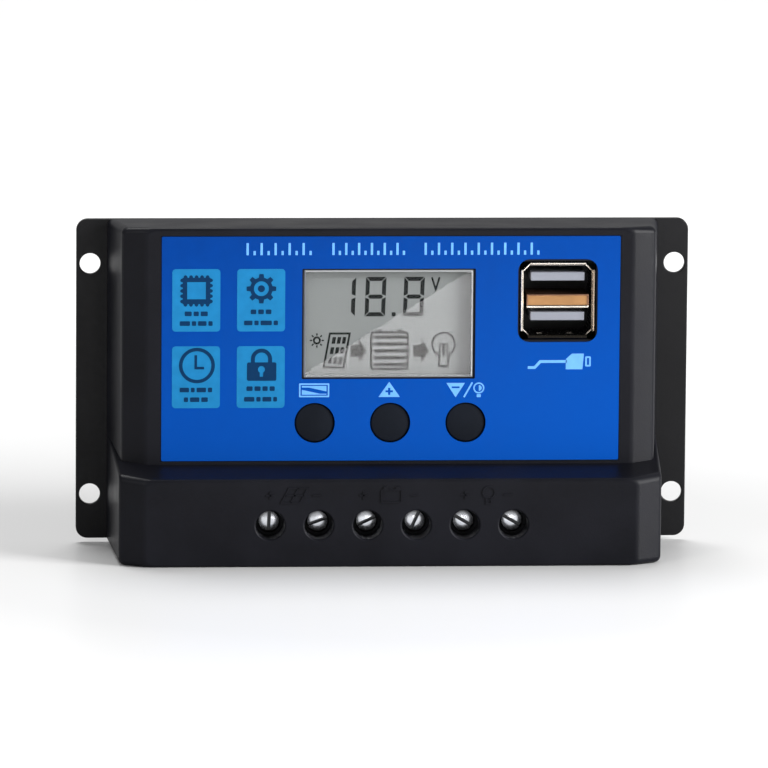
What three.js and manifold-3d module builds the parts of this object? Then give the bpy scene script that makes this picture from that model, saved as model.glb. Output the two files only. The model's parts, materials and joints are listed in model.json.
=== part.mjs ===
// Solar charge controller: a screw-terminal housing on a back plate, with a display, three buttons
// and two USB sockets. Millimetres. +X runs to the viewer's right, +Z up and the front faces -Y.
// The origin is under the middle of the body, at the foot of the terminal hood that it stands on.
// "Depth" below is the distance from the back plate's front face towards the viewer.
import * as THREE from 'three';
import { mergeVertices } from 'three/addons/utils/BufferGeometryUtils.js';
import Module from 'manifold-3d';

const wasm = await Module();
wasm.setup();

// ---------------------------------------------------------------- driving dimensions
const BODY_H = 72;
const BODY_BASE_W = 119.6;    // where the housing meets the plate
const WALL = 2;

const PLATE_T = 1.5;
const PLATE_LIP = 1;          // how far the housing passes the plate, over and under
const PLATE_CORNER_R = 2.5;
const EAR_W = 6.7;
const FIXING_HOLE_R = 2.25;
const FIXING_FROM_SIDE = 3;
const FIXING_FROM_END = 9.75;

const FACE_DEPTH = 22;        // upper front
const FACE_DRAFT = 2.4;       // how far each side leans in on its way to the chamfer
const FACE_CHAMFER_W = 5;
const FACE_CHAMFER_D = 2.3;

const HOOD_DEPTH = 32;        // front over the terminals
const HOOD_DRAFT = 1.5;
const HOOD_CHAMFER_W = 5.3;
const HOOD_CHAMFER_D = 3.1;
const HOOD_TOP_BACK = 20.7;   // where the hood's sloping top meets the upper front
const HOOD_TOP_FRONT = 19;

const LABEL_FROM_LEFT = 3.3;  // margins of the face around the label
const LABEL_FROM_RIGHT = 2.7;
const LABEL_FROM_TOP = 1.75;
const LABEL_OVER_HOOD = 0.65;
const LABEL_T = 0.4;

const LCD_FROM_USB = 36.35;   // between the middles of the window and of the socket stack
const LCD_FROM_TOP = 20.85;   // middle of the window
const LCD_WINDOW_W = 36.6;
const LCD_WINDOW_H = 22.9;
const LCD_WINDOW_T = 1.5;
const LCD_GLASS_W = 40.5;
const LCD_GLASS_H = 27;
const LCD_GLASS_T = 2.6;
const LCD_LIGHT_T = 3.2;
const LCD_CARRIER_WALL = 1.2;
const LCD_PINS = 12;
const LCD_PIN_PITCH = 2.54;
const LCD_PIN_W = 0.6;
const LCD_PIN_SEAT = 0.5;     // how far a pin starts inside its strip
const LCD_STRIP_T = 2.5;
const LCD_STRIP_H = 1.6;
const LCD_STRIP_DROP = 1.1;   // middle of the strip under the glass

const BUTTON_FROM_LCD = 0.45; // middle button from the middle of the window
const BUTTON_OVER_HOOD = 9;
const BUTTON_PITCH = 16.25;
const BUTTON_R = 4.2;
const BUTTON_TRAVEL = 0.5;
const BUTTON_STEM_R = 2;
const BUTTON_FLANGE_EXTRA = 1.0;
const BUTTON_FLANGE_T = 1.3;
const BUTTON_BEVEL = 0.3;
const BUTTON_PLAY = 0.1;      // between a button's stem and the plunger
const SWITCH_W = 6;
const SWITCH_T = 3.5;
const PLUNGER_R = 1.65;
const PLUNGER_PROUD = 1;
const PLUNGER_SEAT = 0.6;
const FRONT_SUNK = 0.1;       // buttons and socket shell behind the face

const USB_FROM_RIGHT = 16.25; // middle of the stack from the face's right edge
const USB_FROM_TOP = 15.9;
const USB_SHELL_W = 15.9;
const USB_SHELL_H = 16.4;
const USB_SHELL_T = 0.4;
const USB_FLOOR_DEPTH = 12;   // front of the moulded block behind the sockets
const USB_TONGUE_W = 11.6;
const USB_TONGUE_T = 1.85;
const USB_TONGUE_UP = 5.1;    // tongue middles over and under the middle of the stack
const USB_TONGUE_DOWN = -3.5;
const USB_DIVIDER_W = 13.4;
const USB_DIVIDER_H = 3;
const USB_DIVIDER_Z = -0.2;
const USB_DIVIDER_SUNK = 0.4; // behind the shell's front
const USB_TONGUE_SUNK = 1;
const USB_CORNER_R = 1.5;     // of the label's opening

const BOARD_DEPTH = 8;        // front face of the circuit board
const BOARD_T = 1.6;
const BOARD_MARGIN = 0.5;     // between the board's edge and the walls

const TERMINALS = 6;
const TERMINAL_PITCH = 10.45;
const TERMINAL_X = 0.15;      // middle of the row
const TERMINAL_Z = 9.1;       // screw height
const TERMINAL_RECESS = 5.6;  // from the hood's front back to the terminal block
const TERMINAL_HOLE_R = 3.1;
const TERMINAL_SHOULDER_T = 0.8; // under a screw's head
const COLLAR_T = 1;
const SCREW_HEAD_R = 2.15;
const SCREW_HEAD_T = 2;
const SCREW_HEAD_SUNK = 0.2;
const SCREW_SHANK_R = 1.5;
const SCREW_SLOT_W = 0.75;
const SCREW_SLOT_D = 1;
const SCREW_SLOT_ANGLES = [88, 20, 25, 65, -30, -30];   // degrees, each as its screw was left
const CAGE_W = 7.4;
const CAGE_H = 7;
const CAGE_DEPTH = 9;
const CAGE_WALL = 0.9;
const CAGE_NUT_T = 1.6;
const CAGE_TRAVEL = 2.8;
const CHAMBER_W = 8.2;
const CHAMBER_SPARE = 1.3;    // behind a cage that is wide open
const BAR_W = 5;
const BAR_T = 1;
const BAR_PIN_W = 2;
const BAR_OVER_CHAMBER = 2;
const WIRE_ENTRY_W = 7.6;

const CASE_SCREW_FROM_SIDE = 8.3;
const CASE_SCREW_FROM_END = 7;
const CASE_SCREW_R = 1.25;
const CASE_SCREW_HEAD_R = 2.9;
const CASE_SCREW_CROSS = 0.6; // the cross's arms, as a share of the head's radius
const CASE_SCREW_CROSS_W = 0.7;
const CASE_SCREW_REACH = 16;  // depth of its tip
const BOSS_R = 3.5;
const SPACER_R = 3.25;

const MOSFETS = 4;
const MOSFET_PITCH = 20;
const MOSFET_W = 10.2;
const MOSFET_BODY_H = 9;
const MOSFET_BODY_T = 4.4;
const MOSFET_TAB_H = 6.5;
const MOSFET_TAB_T = 1.3;
const MOSFET_OVER_BLOCK = 7.5; // body's foot over the terminal block
const MOSFET_LEG_PITCH = 2.54;
const MOSFET_LEG_W = 0.8;
const MOSFET_LEG_REACH = 2.8; // from the body's foot down to the bend
const MOSFET_HOLE_R = 1.8;
const MOSFET_HOLE_FROM_TOP = 3.2;
const PAD_T = 0.3;
const PAD_MARGIN = 2;         // beside the row of transistors

const PRESS = 0.15;           // clearance of a piece that is laid or pushed into its seat
const RUN = 0.3;              // clearance of a piece that slides or turns
const OVER = 1;               // how far a cutter passes the face that it opens
const ROUND = 28;             // sides of a round piece
const SMALL_ROUND = 16;
const PLATE_ROUND = 10;       // steps in a curve of the plate

// ---------------------------------------------------------------- materials
const finish = (color, roughness, metalness = 0, extra = {}) =>
  new THREE.MeshStandardMaterial({ color, roughness, metalness, ...extra });
const BLACK_ABS = finish(0x1b1b20, 0.45);
const BLACK_PAINT = finish(0x1d1d1f, 0.5, 0.3);
const LABEL_BLUE = finish(0x0650c8, 0.35);
const CLEAR = finish(0xdfe6e4, 0.08, 0, { transparent: true, opacity: 0.35 });
const LCD_GREY = finish(0xa2a8a2, 0.25);
const WHITE_PLASTIC = finish(0xe8e8e4, 0.5);
const NAVY_BUTTON = finish(0x1b1f29, 0.5);
const GREY_PLASTIC = finish(0x55585c, 0.6);
const BOARD_GREEN = finish(0x14532d, 0.55);
const NICKEL = finish(0xc9c9c6, 0.25, 1);
const COPPER = finish(0xb8794a, 0.3, 1);
const STEEL = finish(0xb9babd, 0.3, 1);
const TERMINAL_GREY = finish(0x2a2d31, 0.55);
const CHIP_BLACK = finish(0x17181a, 0.6);
const PAD_GREY = finish(0x9a9da3, 0.9);
const CAN_SLEEVE = finish(0x20242c, 0.45);
const FERRITE = finish(0x3a3836, 0.7);

const controller = new THREE.Group();

function place(name, geometry, material) {
  const mesh = new THREE.Mesh(geometry, material);
  mesh.name = name;
  controller.add(mesh);
}

// ---------------------------------------------------------------- shape helpers
const PLATE_FRONT = (HOOD_DEPTH + PLATE_T) / 2 - PLATE_T;
const yAt = (depth) => PLATE_FRONT - depth;

// A block between two X values, two depths and two heights.
function block(x0, x1, depth0, depth1, z0, z1) {
  const geometry = new THREE.BoxGeometry(x1 - x0, depth1 - depth0, z1 - z0);
  return geometry.translate((x0 + x1) / 2, yAt((depth0 + depth1) / 2), (z0 + z1) / 2);
}

const blockAt = (x, w, depth0, depth1, z, h) =>
  block(x - w / 2, x + w / 2, depth0, depth1, z - h / 2, z + h / 2);

// A piece turned about the front-to-back axis: [radius, depth] pairs, back first.
function turned(profile, x, z, sides = ROUND) {
  const points = profile.map(([r, depth]) => new THREE.Vector2(r, yAt(depth))).reverse();
  return new THREE.LatheGeometry(points, sides).translate(x, 0, z);
}

const rod = (r, x, z, depth0, depth1, sides = ROUND) =>
  turned([[0, depth0], [r, depth0], [r, depth1], [0, depth1]], x, z, sides);

function tube(outer, inner, x, z, depth0, depth1, sides = ROUND) {
  const ring = [[inner, depth0], [outer, depth0], [outer, depth1], [inner, depth1], [inner, depth0]];
  return turned(ring, x, z, sides);
}

// A flat sheet in the front view: a shape drawn in X and Z, between two depths.
function sheet(shape, depth0, depth1, curveSegments = 6) {
  const geometry = new THREE.ExtrudeGeometry(shape, {
    depth: depth1 - depth0, bevelEnabled: false, curveSegments,
  });
  return geometry.rotateX(Math.PI / 2).translate(0, yAt(depth0), 0);
}

// A bar of the section drawn in X and depth, between two heights.
function upright(section, z0, z1) {
  const shape = new THREE.Shape(section.map(([x, depth]) => new THREE.Vector2(x, yAt(depth))));
  return new THREE.ExtrudeGeometry(shape, { depth: z1 - z0, bevelEnabled: false }).translate(0, 0, z0);
}

function roundedRect(x, z, w, h, r) {
  const shape = new THREE.Shape();
  const left = x - w / 2;
  const foot = z - h / 2;
  shape.moveTo(left + r, foot);
  shape.lineTo(left + w - r, foot);
  shape.absarc(left + w - r, foot + r, r, -Math.PI / 2, 0);
  shape.lineTo(left + w, foot + h - r);
  shape.absarc(left + w - r, foot + h - r, r, 0, Math.PI / 2);
  shape.lineTo(left + r, foot + h);
  shape.absarc(left + r, foot + h - r, r, Math.PI / 2, Math.PI);
  shape.lineTo(left, foot + r);
  shape.absarc(left + r, foot + r, r, Math.PI, Math.PI * 1.5);
  return shape;
}

// ---------------------------------------------------------------- joining and cutting
function solid(geometry) {
  const bare = geometry.clone();
  bare.deleteAttribute('normal');
  bare.deleteAttribute('uv');
  const merged = mergeVertices(bare, 1e-4);
  return new wasm.Manifold(new wasm.Mesh({
    numProp: 3,
    vertProperties: new Float32Array(merged.attributes.position.array),
    triVerts: new Uint32Array(merged.index.array),
  }));
}

const join = (geometries) => geometries.map(solid).reduce((sum, part) => sum.add(part));
const cut = (body, geometries) => geometries.map(solid).reduce((rest, part) => rest.subtract(part), body);

function geometryOf(manifold) {
  const mesh = manifold.getMesh();
  const geometry = new THREE.BufferGeometry();
  geometry.setAttribute('position', new THREE.BufferAttribute(new Float32Array(mesh.vertProperties), 3));
  geometry.setIndex(new THREE.BufferAttribute(new Uint32Array(mesh.triVerts), 1));
  geometry.computeVertexNormals();
  return geometry;
}

// ---------------------------------------------------------------- places worked out from the above
const PLATE_W = BODY_BASE_W + 2 * EAR_W;
const PLATE_H = BODY_H - 2 * PLATE_LIP;
const PLATE_Z = BODY_H / 2;
const FACE_EDGE_W = BODY_BASE_W - 2 * FACE_DRAFT;
const FACE_W = FACE_EDGE_W - 2 * FACE_CHAMFER_W;
const FACE_EDGE_DEPTH = FACE_DEPTH - FACE_CHAMFER_D;
const HOOD_EDGE_W = BODY_BASE_W - 2 * HOOD_DRAFT;
const HOOD_W = HOOD_EDGE_W - 2 * HOOD_CHAMFER_W;
const HOOD_EDGE_DEPTH = HOOD_DEPTH - HOOD_CHAMFER_D;
const LABEL_X = (LABEL_FROM_LEFT - LABEL_FROM_RIGHT) / 2;
const LABEL_W = FACE_W - LABEL_FROM_LEFT - LABEL_FROM_RIGHT;
const LABEL_FOOT = HOOD_TOP_BACK + LABEL_OVER_HOOD;
const LABEL_H = BODY_H - LABEL_FROM_TOP - LABEL_FOOT;
const USB_X = FACE_W / 2 - USB_FROM_RIGHT;
const USB_Z = BODY_H - USB_FROM_TOP;
const LCD_X = USB_X - LCD_FROM_USB;
const LCD_Z = BODY_H - LCD_FROM_TOP;
const BUTTON_Z = HOOD_TOP_BACK + BUTTON_OVER_HOOD;
const TERMINAL_BLOCK_TOP = HOOD_TOP_FRONT - WALL;
const CASE_SCREW_X = BODY_BASE_W / 2 - CASE_SCREW_FROM_SIDE;
const MOSFET_FOOT_Z = TERMINAL_BLOCK_TOP + MOSFET_OVER_BLOCK;
const terminalX = (i) => TERMINAL_X + (i - (TERMINALS - 1) / 2) * TERMINAL_PITCH;
const terminalRow = Array.from({ length: TERMINALS }, (_, i) => terminalX(i));
const buttonNames = ['menu', 'up', 'down'];
const buttonX = (i) => LCD_X + BUTTON_FROM_LCD + (i - 1) * BUTTON_PITCH;
const caseScrewSpots = [CASE_SCREW_FROM_END, BODY_H - CASE_SCREW_FROM_END]
  .flatMap((z) => [[-CASE_SCREW_X, z], [CASE_SCREW_X, z]]);
const mosfetX = (i) => (i - (MOSFETS - 1) / 2) * MOSFET_PITCH;

const FACE_INSIDE = FACE_DEPTH - WALL;
const HOOD_INSIDE = HOOD_DEPTH - WALL;
const WINDOW_FRONT = FACE_DEPTH - LABEL_T / 2;
const GLASS_FRONT = FACE_INSIDE - PRESS;
const GLASS_BACK = GLASS_FRONT - LCD_GLASS_T;
const LIGHT_BACK = GLASS_BACK - PRESS - LCD_LIGHT_T;
const BUTTON_HOLE_R = BUTTON_R + PRESS;
const BUTTON_FRONT = FACE_DEPTH - FRONT_SUNK;
const BUTTON_FLANGE_FRONT = FACE_INSIDE - RUN;
const SWITCH_FRONT = BOARD_DEPTH + SWITCH_T;
const PLUNGER_FRONT = SWITCH_FRONT + PLUNGER_PROUD;
const PLUNGER_BACK = SWITCH_FRONT - PLUNGER_SEAT;
const USB_FRONT = FACE_DEPTH - FRONT_SUNK;
const TERMINAL_BLOCK_FRONT = HOOD_DEPTH - TERMINAL_RECESS;
const SCREW_HEAD_FRONT = TERMINAL_BLOCK_FRONT - SCREW_HEAD_SUNK;
const SCREW_HEAD_BACK = SCREW_HEAD_FRONT - SCREW_HEAD_T;
const SHOULDER_FRONT = SCREW_HEAD_BACK - PRESS;
const CHAMBER_FRONT = SHOULDER_FRONT - TERMINAL_SHOULDER_T;
const CAGE_FRONT = CHAMBER_FRONT - PRESS - CAGE_TRAVEL;  // wide open
const CAGE_BACK = CAGE_FRONT - CAGE_DEPTH;
const CHAMBER_BACK = CAGE_BACK - CHAMBER_SPARE;
const BAR_FRONT = CAGE_FRONT - CAGE_NUT_T - RUN;
const BAR_BACK = BAR_FRONT - BAR_T;
const SCREW_TIP = BAR_FRONT + PRESS;
const CHAMBER_TOP = TERMINAL_Z + CAGE_H / 2 + RUN;
const BAR_TOP = CHAMBER_TOP + BAR_OVER_CHAMBER;
const BLOCK_FOOT = WALL + RUN;

// ---------------------------------------------------------------- back plate
function backPlate() {
  const shape = roundedRect(0, PLATE_Z, PLATE_W, PLATE_H, PLATE_CORNER_R);
  for (const sx of [-1, 1]) {
    for (const sz of [-1, 1]) {
      const hole = new THREE.Path();
      const x = sx * (PLATE_W / 2 - FIXING_FROM_SIDE);
      const z = PLATE_Z + sz * (PLATE_H / 2 - FIXING_FROM_END);
      hole.absarc(x, z, FIXING_HOLE_R, 0, Math.PI * 2, true);
      shape.holes.push(hole);
    }
  }
  const sinks = caseScrewSpots.map(([x, z]) => {
    const r = CASE_SCREW_R + RUN;
    const mouth = CASE_SCREW_HEAD_R + PRESS;
    return turned([[0, -PLATE_T - OVER], [mouth, -PLATE_T - OVER], [mouth, -PLATE_T], [r, 0], [r, OVER],
      [0, OVER]], x, z, SMALL_ROUND);
  });
  return geometryOf(cut(solid(sheet(shape, -PLATE_T, 0, PLATE_ROUND)), sinks));
}
place('back_plate', backPlate(), BLACK_PAINT);

// ---------------------------------------------------------------- front housing
// Plan section of the body: straight drafted sides, a sloping chamfer each side and a flat front.
// The cavity's section is the same one, inset by the wall, and starts behind the open back.
function section(frontW, frontDepth, edgeW, edgeDepth, inset) {
  const base = BODY_BASE_W / 2 - inset;
  const edge = edgeW / 2 - inset;
  const front = frontW / 2 - inset;
  const start = inset > 0 ? -OVER : 0;
  return [
    [-base, start], [-edge, edgeDepth - inset], [-front, frontDepth - inset],
    [front, frontDepth - inset], [edge, edgeDepth - inset], [base, start],
  ];
}

// Half the width of the cavity behind the face at a depth.
function cavityHalfAt(depth) {
  const [back, front] = section(FACE_W, FACE_DEPTH, FACE_EDGE_W, FACE_EDGE_DEPTH, WALL);
  const along = (depth - back[1]) / (front[1] - back[1]);
  return -(back[0] + (front[0] - back[0]) * along);
}

// Everything over the hood's sloping top, lowered by an inset.
function aboveHood(inset) {
  const slope = (HOOD_TOP_BACK - HOOD_TOP_FRONT) / (HOOD_DEPTH - FACE_DEPTH);
  const topAt = (depth) => HOOD_TOP_BACK - inset - (depth - FACE_DEPTH) * slope;
  const reach = HOOD_DEPTH + OVER;
  const shape = new THREE.Shape([
    new THREE.Vector2(-yAt(-OVER), topAt(-OVER)), new THREE.Vector2(-yAt(reach), topAt(reach)),
    new THREE.Vector2(-yAt(reach), BODY_H + OVER), new THREE.Vector2(-yAt(-OVER), BODY_H + OVER),
  ]);
  const wedge = new THREE.ExtrudeGeometry(shape, { depth: PLATE_W, bevelEnabled: false });
  return wedge.translate(0, 0, -PLATE_W / 2).rotateX(Math.PI / 2).rotateZ(-Math.PI / 2);
}

function hoodBar(inset) {
  const bar = upright(section(HOOD_W, HOOD_DEPTH, HOOD_EDGE_W, HOOD_EDGE_DEPTH, inset), inset,
    HOOD_TOP_BACK + HOOD_DEPTH);
  return cut(solid(bar), [aboveHood(inset)]);
}

const faceBar = (inset) =>
  solid(upright(section(FACE_W, FACE_DEPTH, FACE_EDGE_W, FACE_EDGE_DEPTH, inset), inset, BODY_H - inset));

function frontHousing() {
  let shell = faceBar(0).add(hoodBar(0)).subtract(faceBar(WALL).add(hoodBar(WALL)));
  const bosses = caseScrewSpots.map(([x, z]) => {
    const end = z < HOOD_TOP_FRONT ? HOOD_INSIDE : FACE_INSIDE;
    return solid(rod(BOSS_R, x, z, BOARD_DEPTH, end + WALL / 4, SMALL_ROUND));
  });
  const collars = terminalRow.map((x) => solid(rod(TERMINAL_HOLE_R + COLLAR_T, x, TERMINAL_Z,
    TERMINAL_BLOCK_FRONT + RUN, HOOD_INSIDE + WALL / 4)));
  for (const part of [...bosses, ...collars]) {
    shell = shell.add(part);
  }
  const labelZ = LABEL_FOOT + LABEL_H / 2;
  const cutters = [
    blockAt(LABEL_X, LABEL_W, FACE_DEPTH - LABEL_T, FACE_DEPTH + OVER, labelZ, LABEL_H),
    blockAt(LCD_X, LCD_WINDOW_W, FACE_INSIDE - OVER, FACE_DEPTH, LCD_Z, LCD_WINDOW_H),
    blockAt(USB_X, USB_SHELL_W + 2 * RUN, FACE_INSIDE - OVER, FACE_DEPTH, USB_Z, USB_SHELL_H + 2 * RUN),
  ];
  buttonNames.forEach((_, i) => {
    cutters.push(rod(BUTTON_HOLE_R, buttonX(i), BUTTON_Z, FACE_INSIDE - OVER, FACE_DEPTH));
  });
  for (const x of terminalRow) {
    cutters.push(rod(TERMINAL_HOLE_R, x, TERMINAL_Z, TERMINAL_BLOCK_FRONT - OVER, HOOD_DEPTH + OVER));
    cutters.push(block(x - WIRE_ENTRY_W / 2, x + WIRE_ENTRY_W / 2, CHAMBER_BACK, CHAMBER_FRONT,
      -OVER, WALL + OVER));
  }
  for (const [x, z] of caseScrewSpots) {
    const end = CASE_SCREW_REACH + OVER;
    cutters.push(rod(CASE_SCREW_R + RUN, x, z, BOARD_DEPTH - OVER, end, SMALL_ROUND));
  }
  return geometryOf(cut(shell, cutters));
}
place('front_housing', frontHousing(), BLACK_ABS);

// ---------------------------------------------------------------- printed face label and display
function faceLabel() {
  const z = LABEL_FOOT + LABEL_H / 2;
  const w = LABEL_W - 2 * PRESS;
  const h = LABEL_H - 2 * PRESS;
  const body = solid(blockAt(LABEL_X, w, FACE_DEPTH - LABEL_T, FACE_DEPTH, z, h));
  const back = FACE_DEPTH - LABEL_T - OVER;
  const front = FACE_DEPTH + OVER;
  const cutters = [
    blockAt(LCD_X, LCD_WINDOW_W, back, front, LCD_Z, LCD_WINDOW_H),
    sheet(roundedRect(USB_X, USB_Z, USB_SHELL_W + 4 * RUN, USB_SHELL_H + 4 * RUN, USB_CORNER_R), back,
      front),
  ];
  buttonNames.forEach((_, i) => cutters.push(rod(BUTTON_HOLE_R, buttonX(i), BUTTON_Z, back, front)));
  return geometryOf(cut(body, cutters));
}
place('face_label', faceLabel(), LABEL_BLUE);

place('lcd_window', blockAt(LCD_X, LCD_WINDOW_W - 2 * PRESS, WINDOW_FRONT - LCD_WINDOW_T, WINDOW_FRONT,
  LCD_Z, LCD_WINDOW_H - 2 * PRESS), CLEAR);
place('lcd_glass', blockAt(LCD_X, LCD_GLASS_W, GLASS_BACK, GLASS_FRONT, LCD_Z, LCD_GLASS_H), LCD_GREY);
place('lcd_backlight', blockAt(LCD_X, LCD_GLASS_W, LIGHT_BACK, GLASS_BACK - PRESS, LCD_Z, LCD_GLASS_H),
  WHITE_PLASTIC);

function lcdCarrier() {
  const inner = 2 * LCD_CARRIER_WALL;
  const ring = blockAt(LCD_X, LCD_GLASS_W, BOARD_DEPTH, LIGHT_BACK - PRESS, LCD_Z, LCD_GLASS_H);
  const hole = blockAt(LCD_X, LCD_GLASS_W - inner, BOARD_DEPTH - OVER, LIGHT_BACK + OVER, LCD_Z,
    LCD_GLASS_H - inner);
  return geometryOf(cut(solid(ring), [hole]));
}
place('lcd_carrier', lcdCarrier(), GREY_PLASTIC);

function lcdPinStrip() {
  const z = LCD_Z - LCD_GLASS_H / 2 - LCD_STRIP_DROP;
  const top = BOARD_DEPTH + LCD_STRIP_T;
  const parts = [blockAt(LCD_X, LCD_PINS * LCD_PIN_PITCH, BOARD_DEPTH, top, z, LCD_STRIP_H)];
  for (let i = 0; i < LCD_PINS; i += 1) {
    const x = LCD_X + (i - (LCD_PINS - 1) / 2) * LCD_PIN_PITCH;
    parts.push(blockAt(x, LCD_PIN_W, top - LCD_PIN_SEAT, GLASS_BACK + LCD_GLASS_T / 2, z, LCD_PIN_W));
  }
  return geometryOf(join(parts));
}
place('lcd_pin_strip', lcdPinStrip(), CHIP_BLACK);

// ---------------------------------------------------------------- buttons and their switches
buttonNames.forEach((name, i) => {
  const x = buttonX(i);
  const flangeR = BUTTON_R + BUTTON_FLANGE_EXTRA;
  const flangeBack = BUTTON_FLANGE_FRONT - BUTTON_FLANGE_T;
  const stem = PLUNGER_FRONT + BUTTON_PLAY;
  const profile = [
    [0, stem], [BUTTON_STEM_R, stem], [BUTTON_STEM_R, flangeBack],
    [flangeR, flangeBack], [flangeR, BUTTON_FLANGE_FRONT], [BUTTON_R, BUTTON_FLANGE_FRONT],
    [BUTTON_R, BUTTON_FRONT - BUTTON_BEVEL], [BUTTON_R - BUTTON_BEVEL, BUTTON_FRONT], [0, BUTTON_FRONT],
  ];
  place(`button_${name}`, turned(profile, x, BUTTON_Z), NAVY_BUTTON);
  place(`switch_plunger_${name}`, rod(PLUNGER_R, x, BUTTON_Z, PLUNGER_BACK, PLUNGER_FRONT, SMALL_ROUND),
    BLACK_ABS);
  const body = solid(blockAt(x, SWITCH_W, BOARD_DEPTH, SWITCH_FRONT, BUTTON_Z, SWITCH_W));
  const well = rod(PLUNGER_R + RUN, x, BUTTON_Z, PLUNGER_BACK - BUTTON_TRAVEL - PRESS,
    SWITCH_FRONT + OVER, SMALL_ROUND);
  place(`tact_switch_${name}`, geometryOf(cut(body, [well])), STEEL);
});

// ---------------------------------------------------------------- circuit board
function circuitBoard() {
  const back = BOARD_DEPTH - BOARD_T;
  const w = 2 * (cavityHalfAt(BOARD_DEPTH) - BOARD_MARGIN);
  const h = BODY_H - 2 * (WALL + BOARD_MARGIN);
  const cutters = caseScrewSpots.map(([x, z]) =>
    rod(CASE_SCREW_R + RUN, x, z, back - OVER, BOARD_DEPTH + OVER, SMALL_ROUND));
  for (const x of terminalRow) {
    cutters.push(blockAt(x, BAR_PIN_W + 2 * RUN, back - OVER, BOARD_DEPTH + OVER, BAR_TOP - BAR_T / 2,
      BAR_T + 2 * RUN));
  }
  for (let i = 0; i < MOSFETS; i += 1) {
    for (const leg of [-1, 0, 1]) {
      cutters.push(blockAt(mosfetX(i) + leg * MOSFET_LEG_PITCH, MOSFET_LEG_W + 2 * RUN, back - OVER,
        BOARD_DEPTH + OVER, MOSFET_FOOT_Z - MOSFET_LEG_REACH, MOSFET_LEG_W + 2 * RUN));
    }
  }
  for (const side of [-1, 1]) {
    cutters.push(rod(SHUNT_R + RUN, SHUNT_X + side * SHUNT_SPAN / 2, SHUNT_Z, back - OVER,
      BOARD_DEPTH + OVER, SMALL_ROUND));
  }
  return geometryOf(cut(solid(blockAt(0, w, back, BOARD_DEPTH, BODY_H / 2, h)), cutters));
}

// ---------------------------------------------------------------- current shunt
const SHUNT_R = 0.8;
const SHUNT_SPAN = 12;
const SHUNT_X = -20;
const SHUNT_OVER_BLOCK = 4;
const SHUNT_Z = TERMINAL_BLOCK_TOP + SHUNT_OVER_BLOCK;
const SHUNT_RISE = 5;
const SHUNT_TAIL = 0.8;       // past the back of the board
function shunt() {
  const tip = BOARD_DEPTH - BOARD_T - SHUNT_TAIL;
  const top = BOARD_DEPTH + SHUNT_RISE;
  const half = SHUNT_SPAN / 2;
  const bend = 2 * SHUNT_R;
  const path = new THREE.CurvePath();
  const at = (x, depth) => new THREE.Vector3(SHUNT_X + x, yAt(depth), SHUNT_Z);
  path.add(new THREE.LineCurve3(at(-half, tip), at(-half, top - bend)));
  path.add(new THREE.QuadraticBezierCurve3(at(-half, top - bend), at(-half, top), at(bend - half, top)));
  path.add(new THREE.LineCurve3(at(bend - half, top), at(half - bend, top)));
  path.add(new THREE.QuadraticBezierCurve3(at(half - bend, top), at(half, top), at(half, top - bend)));
  path.add(new THREE.LineCurve3(at(half, top - bend), at(half, tip)));
  const wire = new THREE.Shape().absarc(0, 0, SHUNT_R, 0, Math.PI * 2);
  return new THREE.ExtrudeGeometry(wire, { steps: 24, extrudePath: path, curveSegments: 5 });
}
place('main_circuit_board', circuitBoard(), BOARD_GREEN);
place('current_shunt', geometryOf(solid(shunt())), STEEL);

// ---------------------------------------------------------------- double USB socket
const usbInnerW = USB_SHELL_W - 2 * USB_SHELL_T;
const usbInnerH = USB_SHELL_H - 2 * USB_SHELL_T;
place('usb_shell', geometryOf(cut(
  solid(blockAt(USB_X, USB_SHELL_W, BOARD_DEPTH, USB_FRONT, USB_Z, USB_SHELL_H)),
  [blockAt(USB_X, usbInnerW, BOARD_DEPTH - OVER, USB_FRONT + OVER, USB_Z, usbInnerH)],
)), NICKEL);
place('usb_insulator', blockAt(USB_X, usbInnerW - 2 * PRESS, BOARD_DEPTH, USB_FLOOR_DEPTH, USB_Z,
  usbInnerH - 2 * PRESS), WHITE_PLASTIC);
for (const [name, dz] of [['upper', USB_TONGUE_UP], ['lower', USB_TONGUE_DOWN]]) {
  place(`usb_tongue_${name}`, blockAt(USB_X, USB_TONGUE_W, USB_FLOOR_DEPTH, USB_FRONT - USB_TONGUE_SUNK,
    USB_Z + dz, USB_TONGUE_T), WHITE_PLASTIC);
}
place('usb_divider', geometryOf(cut(
  solid(blockAt(USB_X, USB_DIVIDER_W, USB_FLOOR_DEPTH, USB_FRONT - USB_DIVIDER_SUNK,
    USB_Z + USB_DIVIDER_Z, USB_DIVIDER_H)),
  [blockAt(USB_X, USB_DIVIDER_W - 2 * USB_SHELL_T, USB_FLOOR_DEPTH - OVER, USB_FRONT - USB_TONGUE_SUNK,
    USB_Z + USB_DIVIDER_Z, USB_DIVIDER_H - 2 * USB_SHELL_T)],
)), COPPER);

// ---------------------------------------------------------------- terminal block and its clamps
function terminalBlock() {
  const w = TERMINALS * TERMINAL_PITCH;
  const body = solid(block(TERMINAL_X - w / 2, TERMINAL_X + w / 2, BOARD_DEPTH, TERMINAL_BLOCK_FRONT,
    BLOCK_FOOT, TERMINAL_BLOCK_TOP));
  const cutters = [];
  for (const x of terminalRow) {
    cutters.push(block(x - CHAMBER_W / 2, x + CHAMBER_W / 2, CHAMBER_BACK, CHAMBER_FRONT,
      BLOCK_FOOT - OVER, CHAMBER_TOP));
    cutters.push(rod(SCREW_HEAD_R + RUN, x, TERMINAL_Z, SHOULDER_FRONT, TERMINAL_BLOCK_FRONT + OVER));
    cutters.push(rod(SCREW_SHANK_R + RUN, x, TERMINAL_Z, CHAMBER_FRONT - OVER, SHOULDER_FRONT + OVER / 2,
      SMALL_ROUND));
    cutters.push(block(x - BAR_W / 2 - RUN, x + BAR_W / 2 + RUN, BOARD_DEPTH - OVER, BAR_FRONT + RUN,
      TERMINAL_Z, BAR_TOP + RUN));
  }
  return geometryOf(cut(body, cutters));
}
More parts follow.
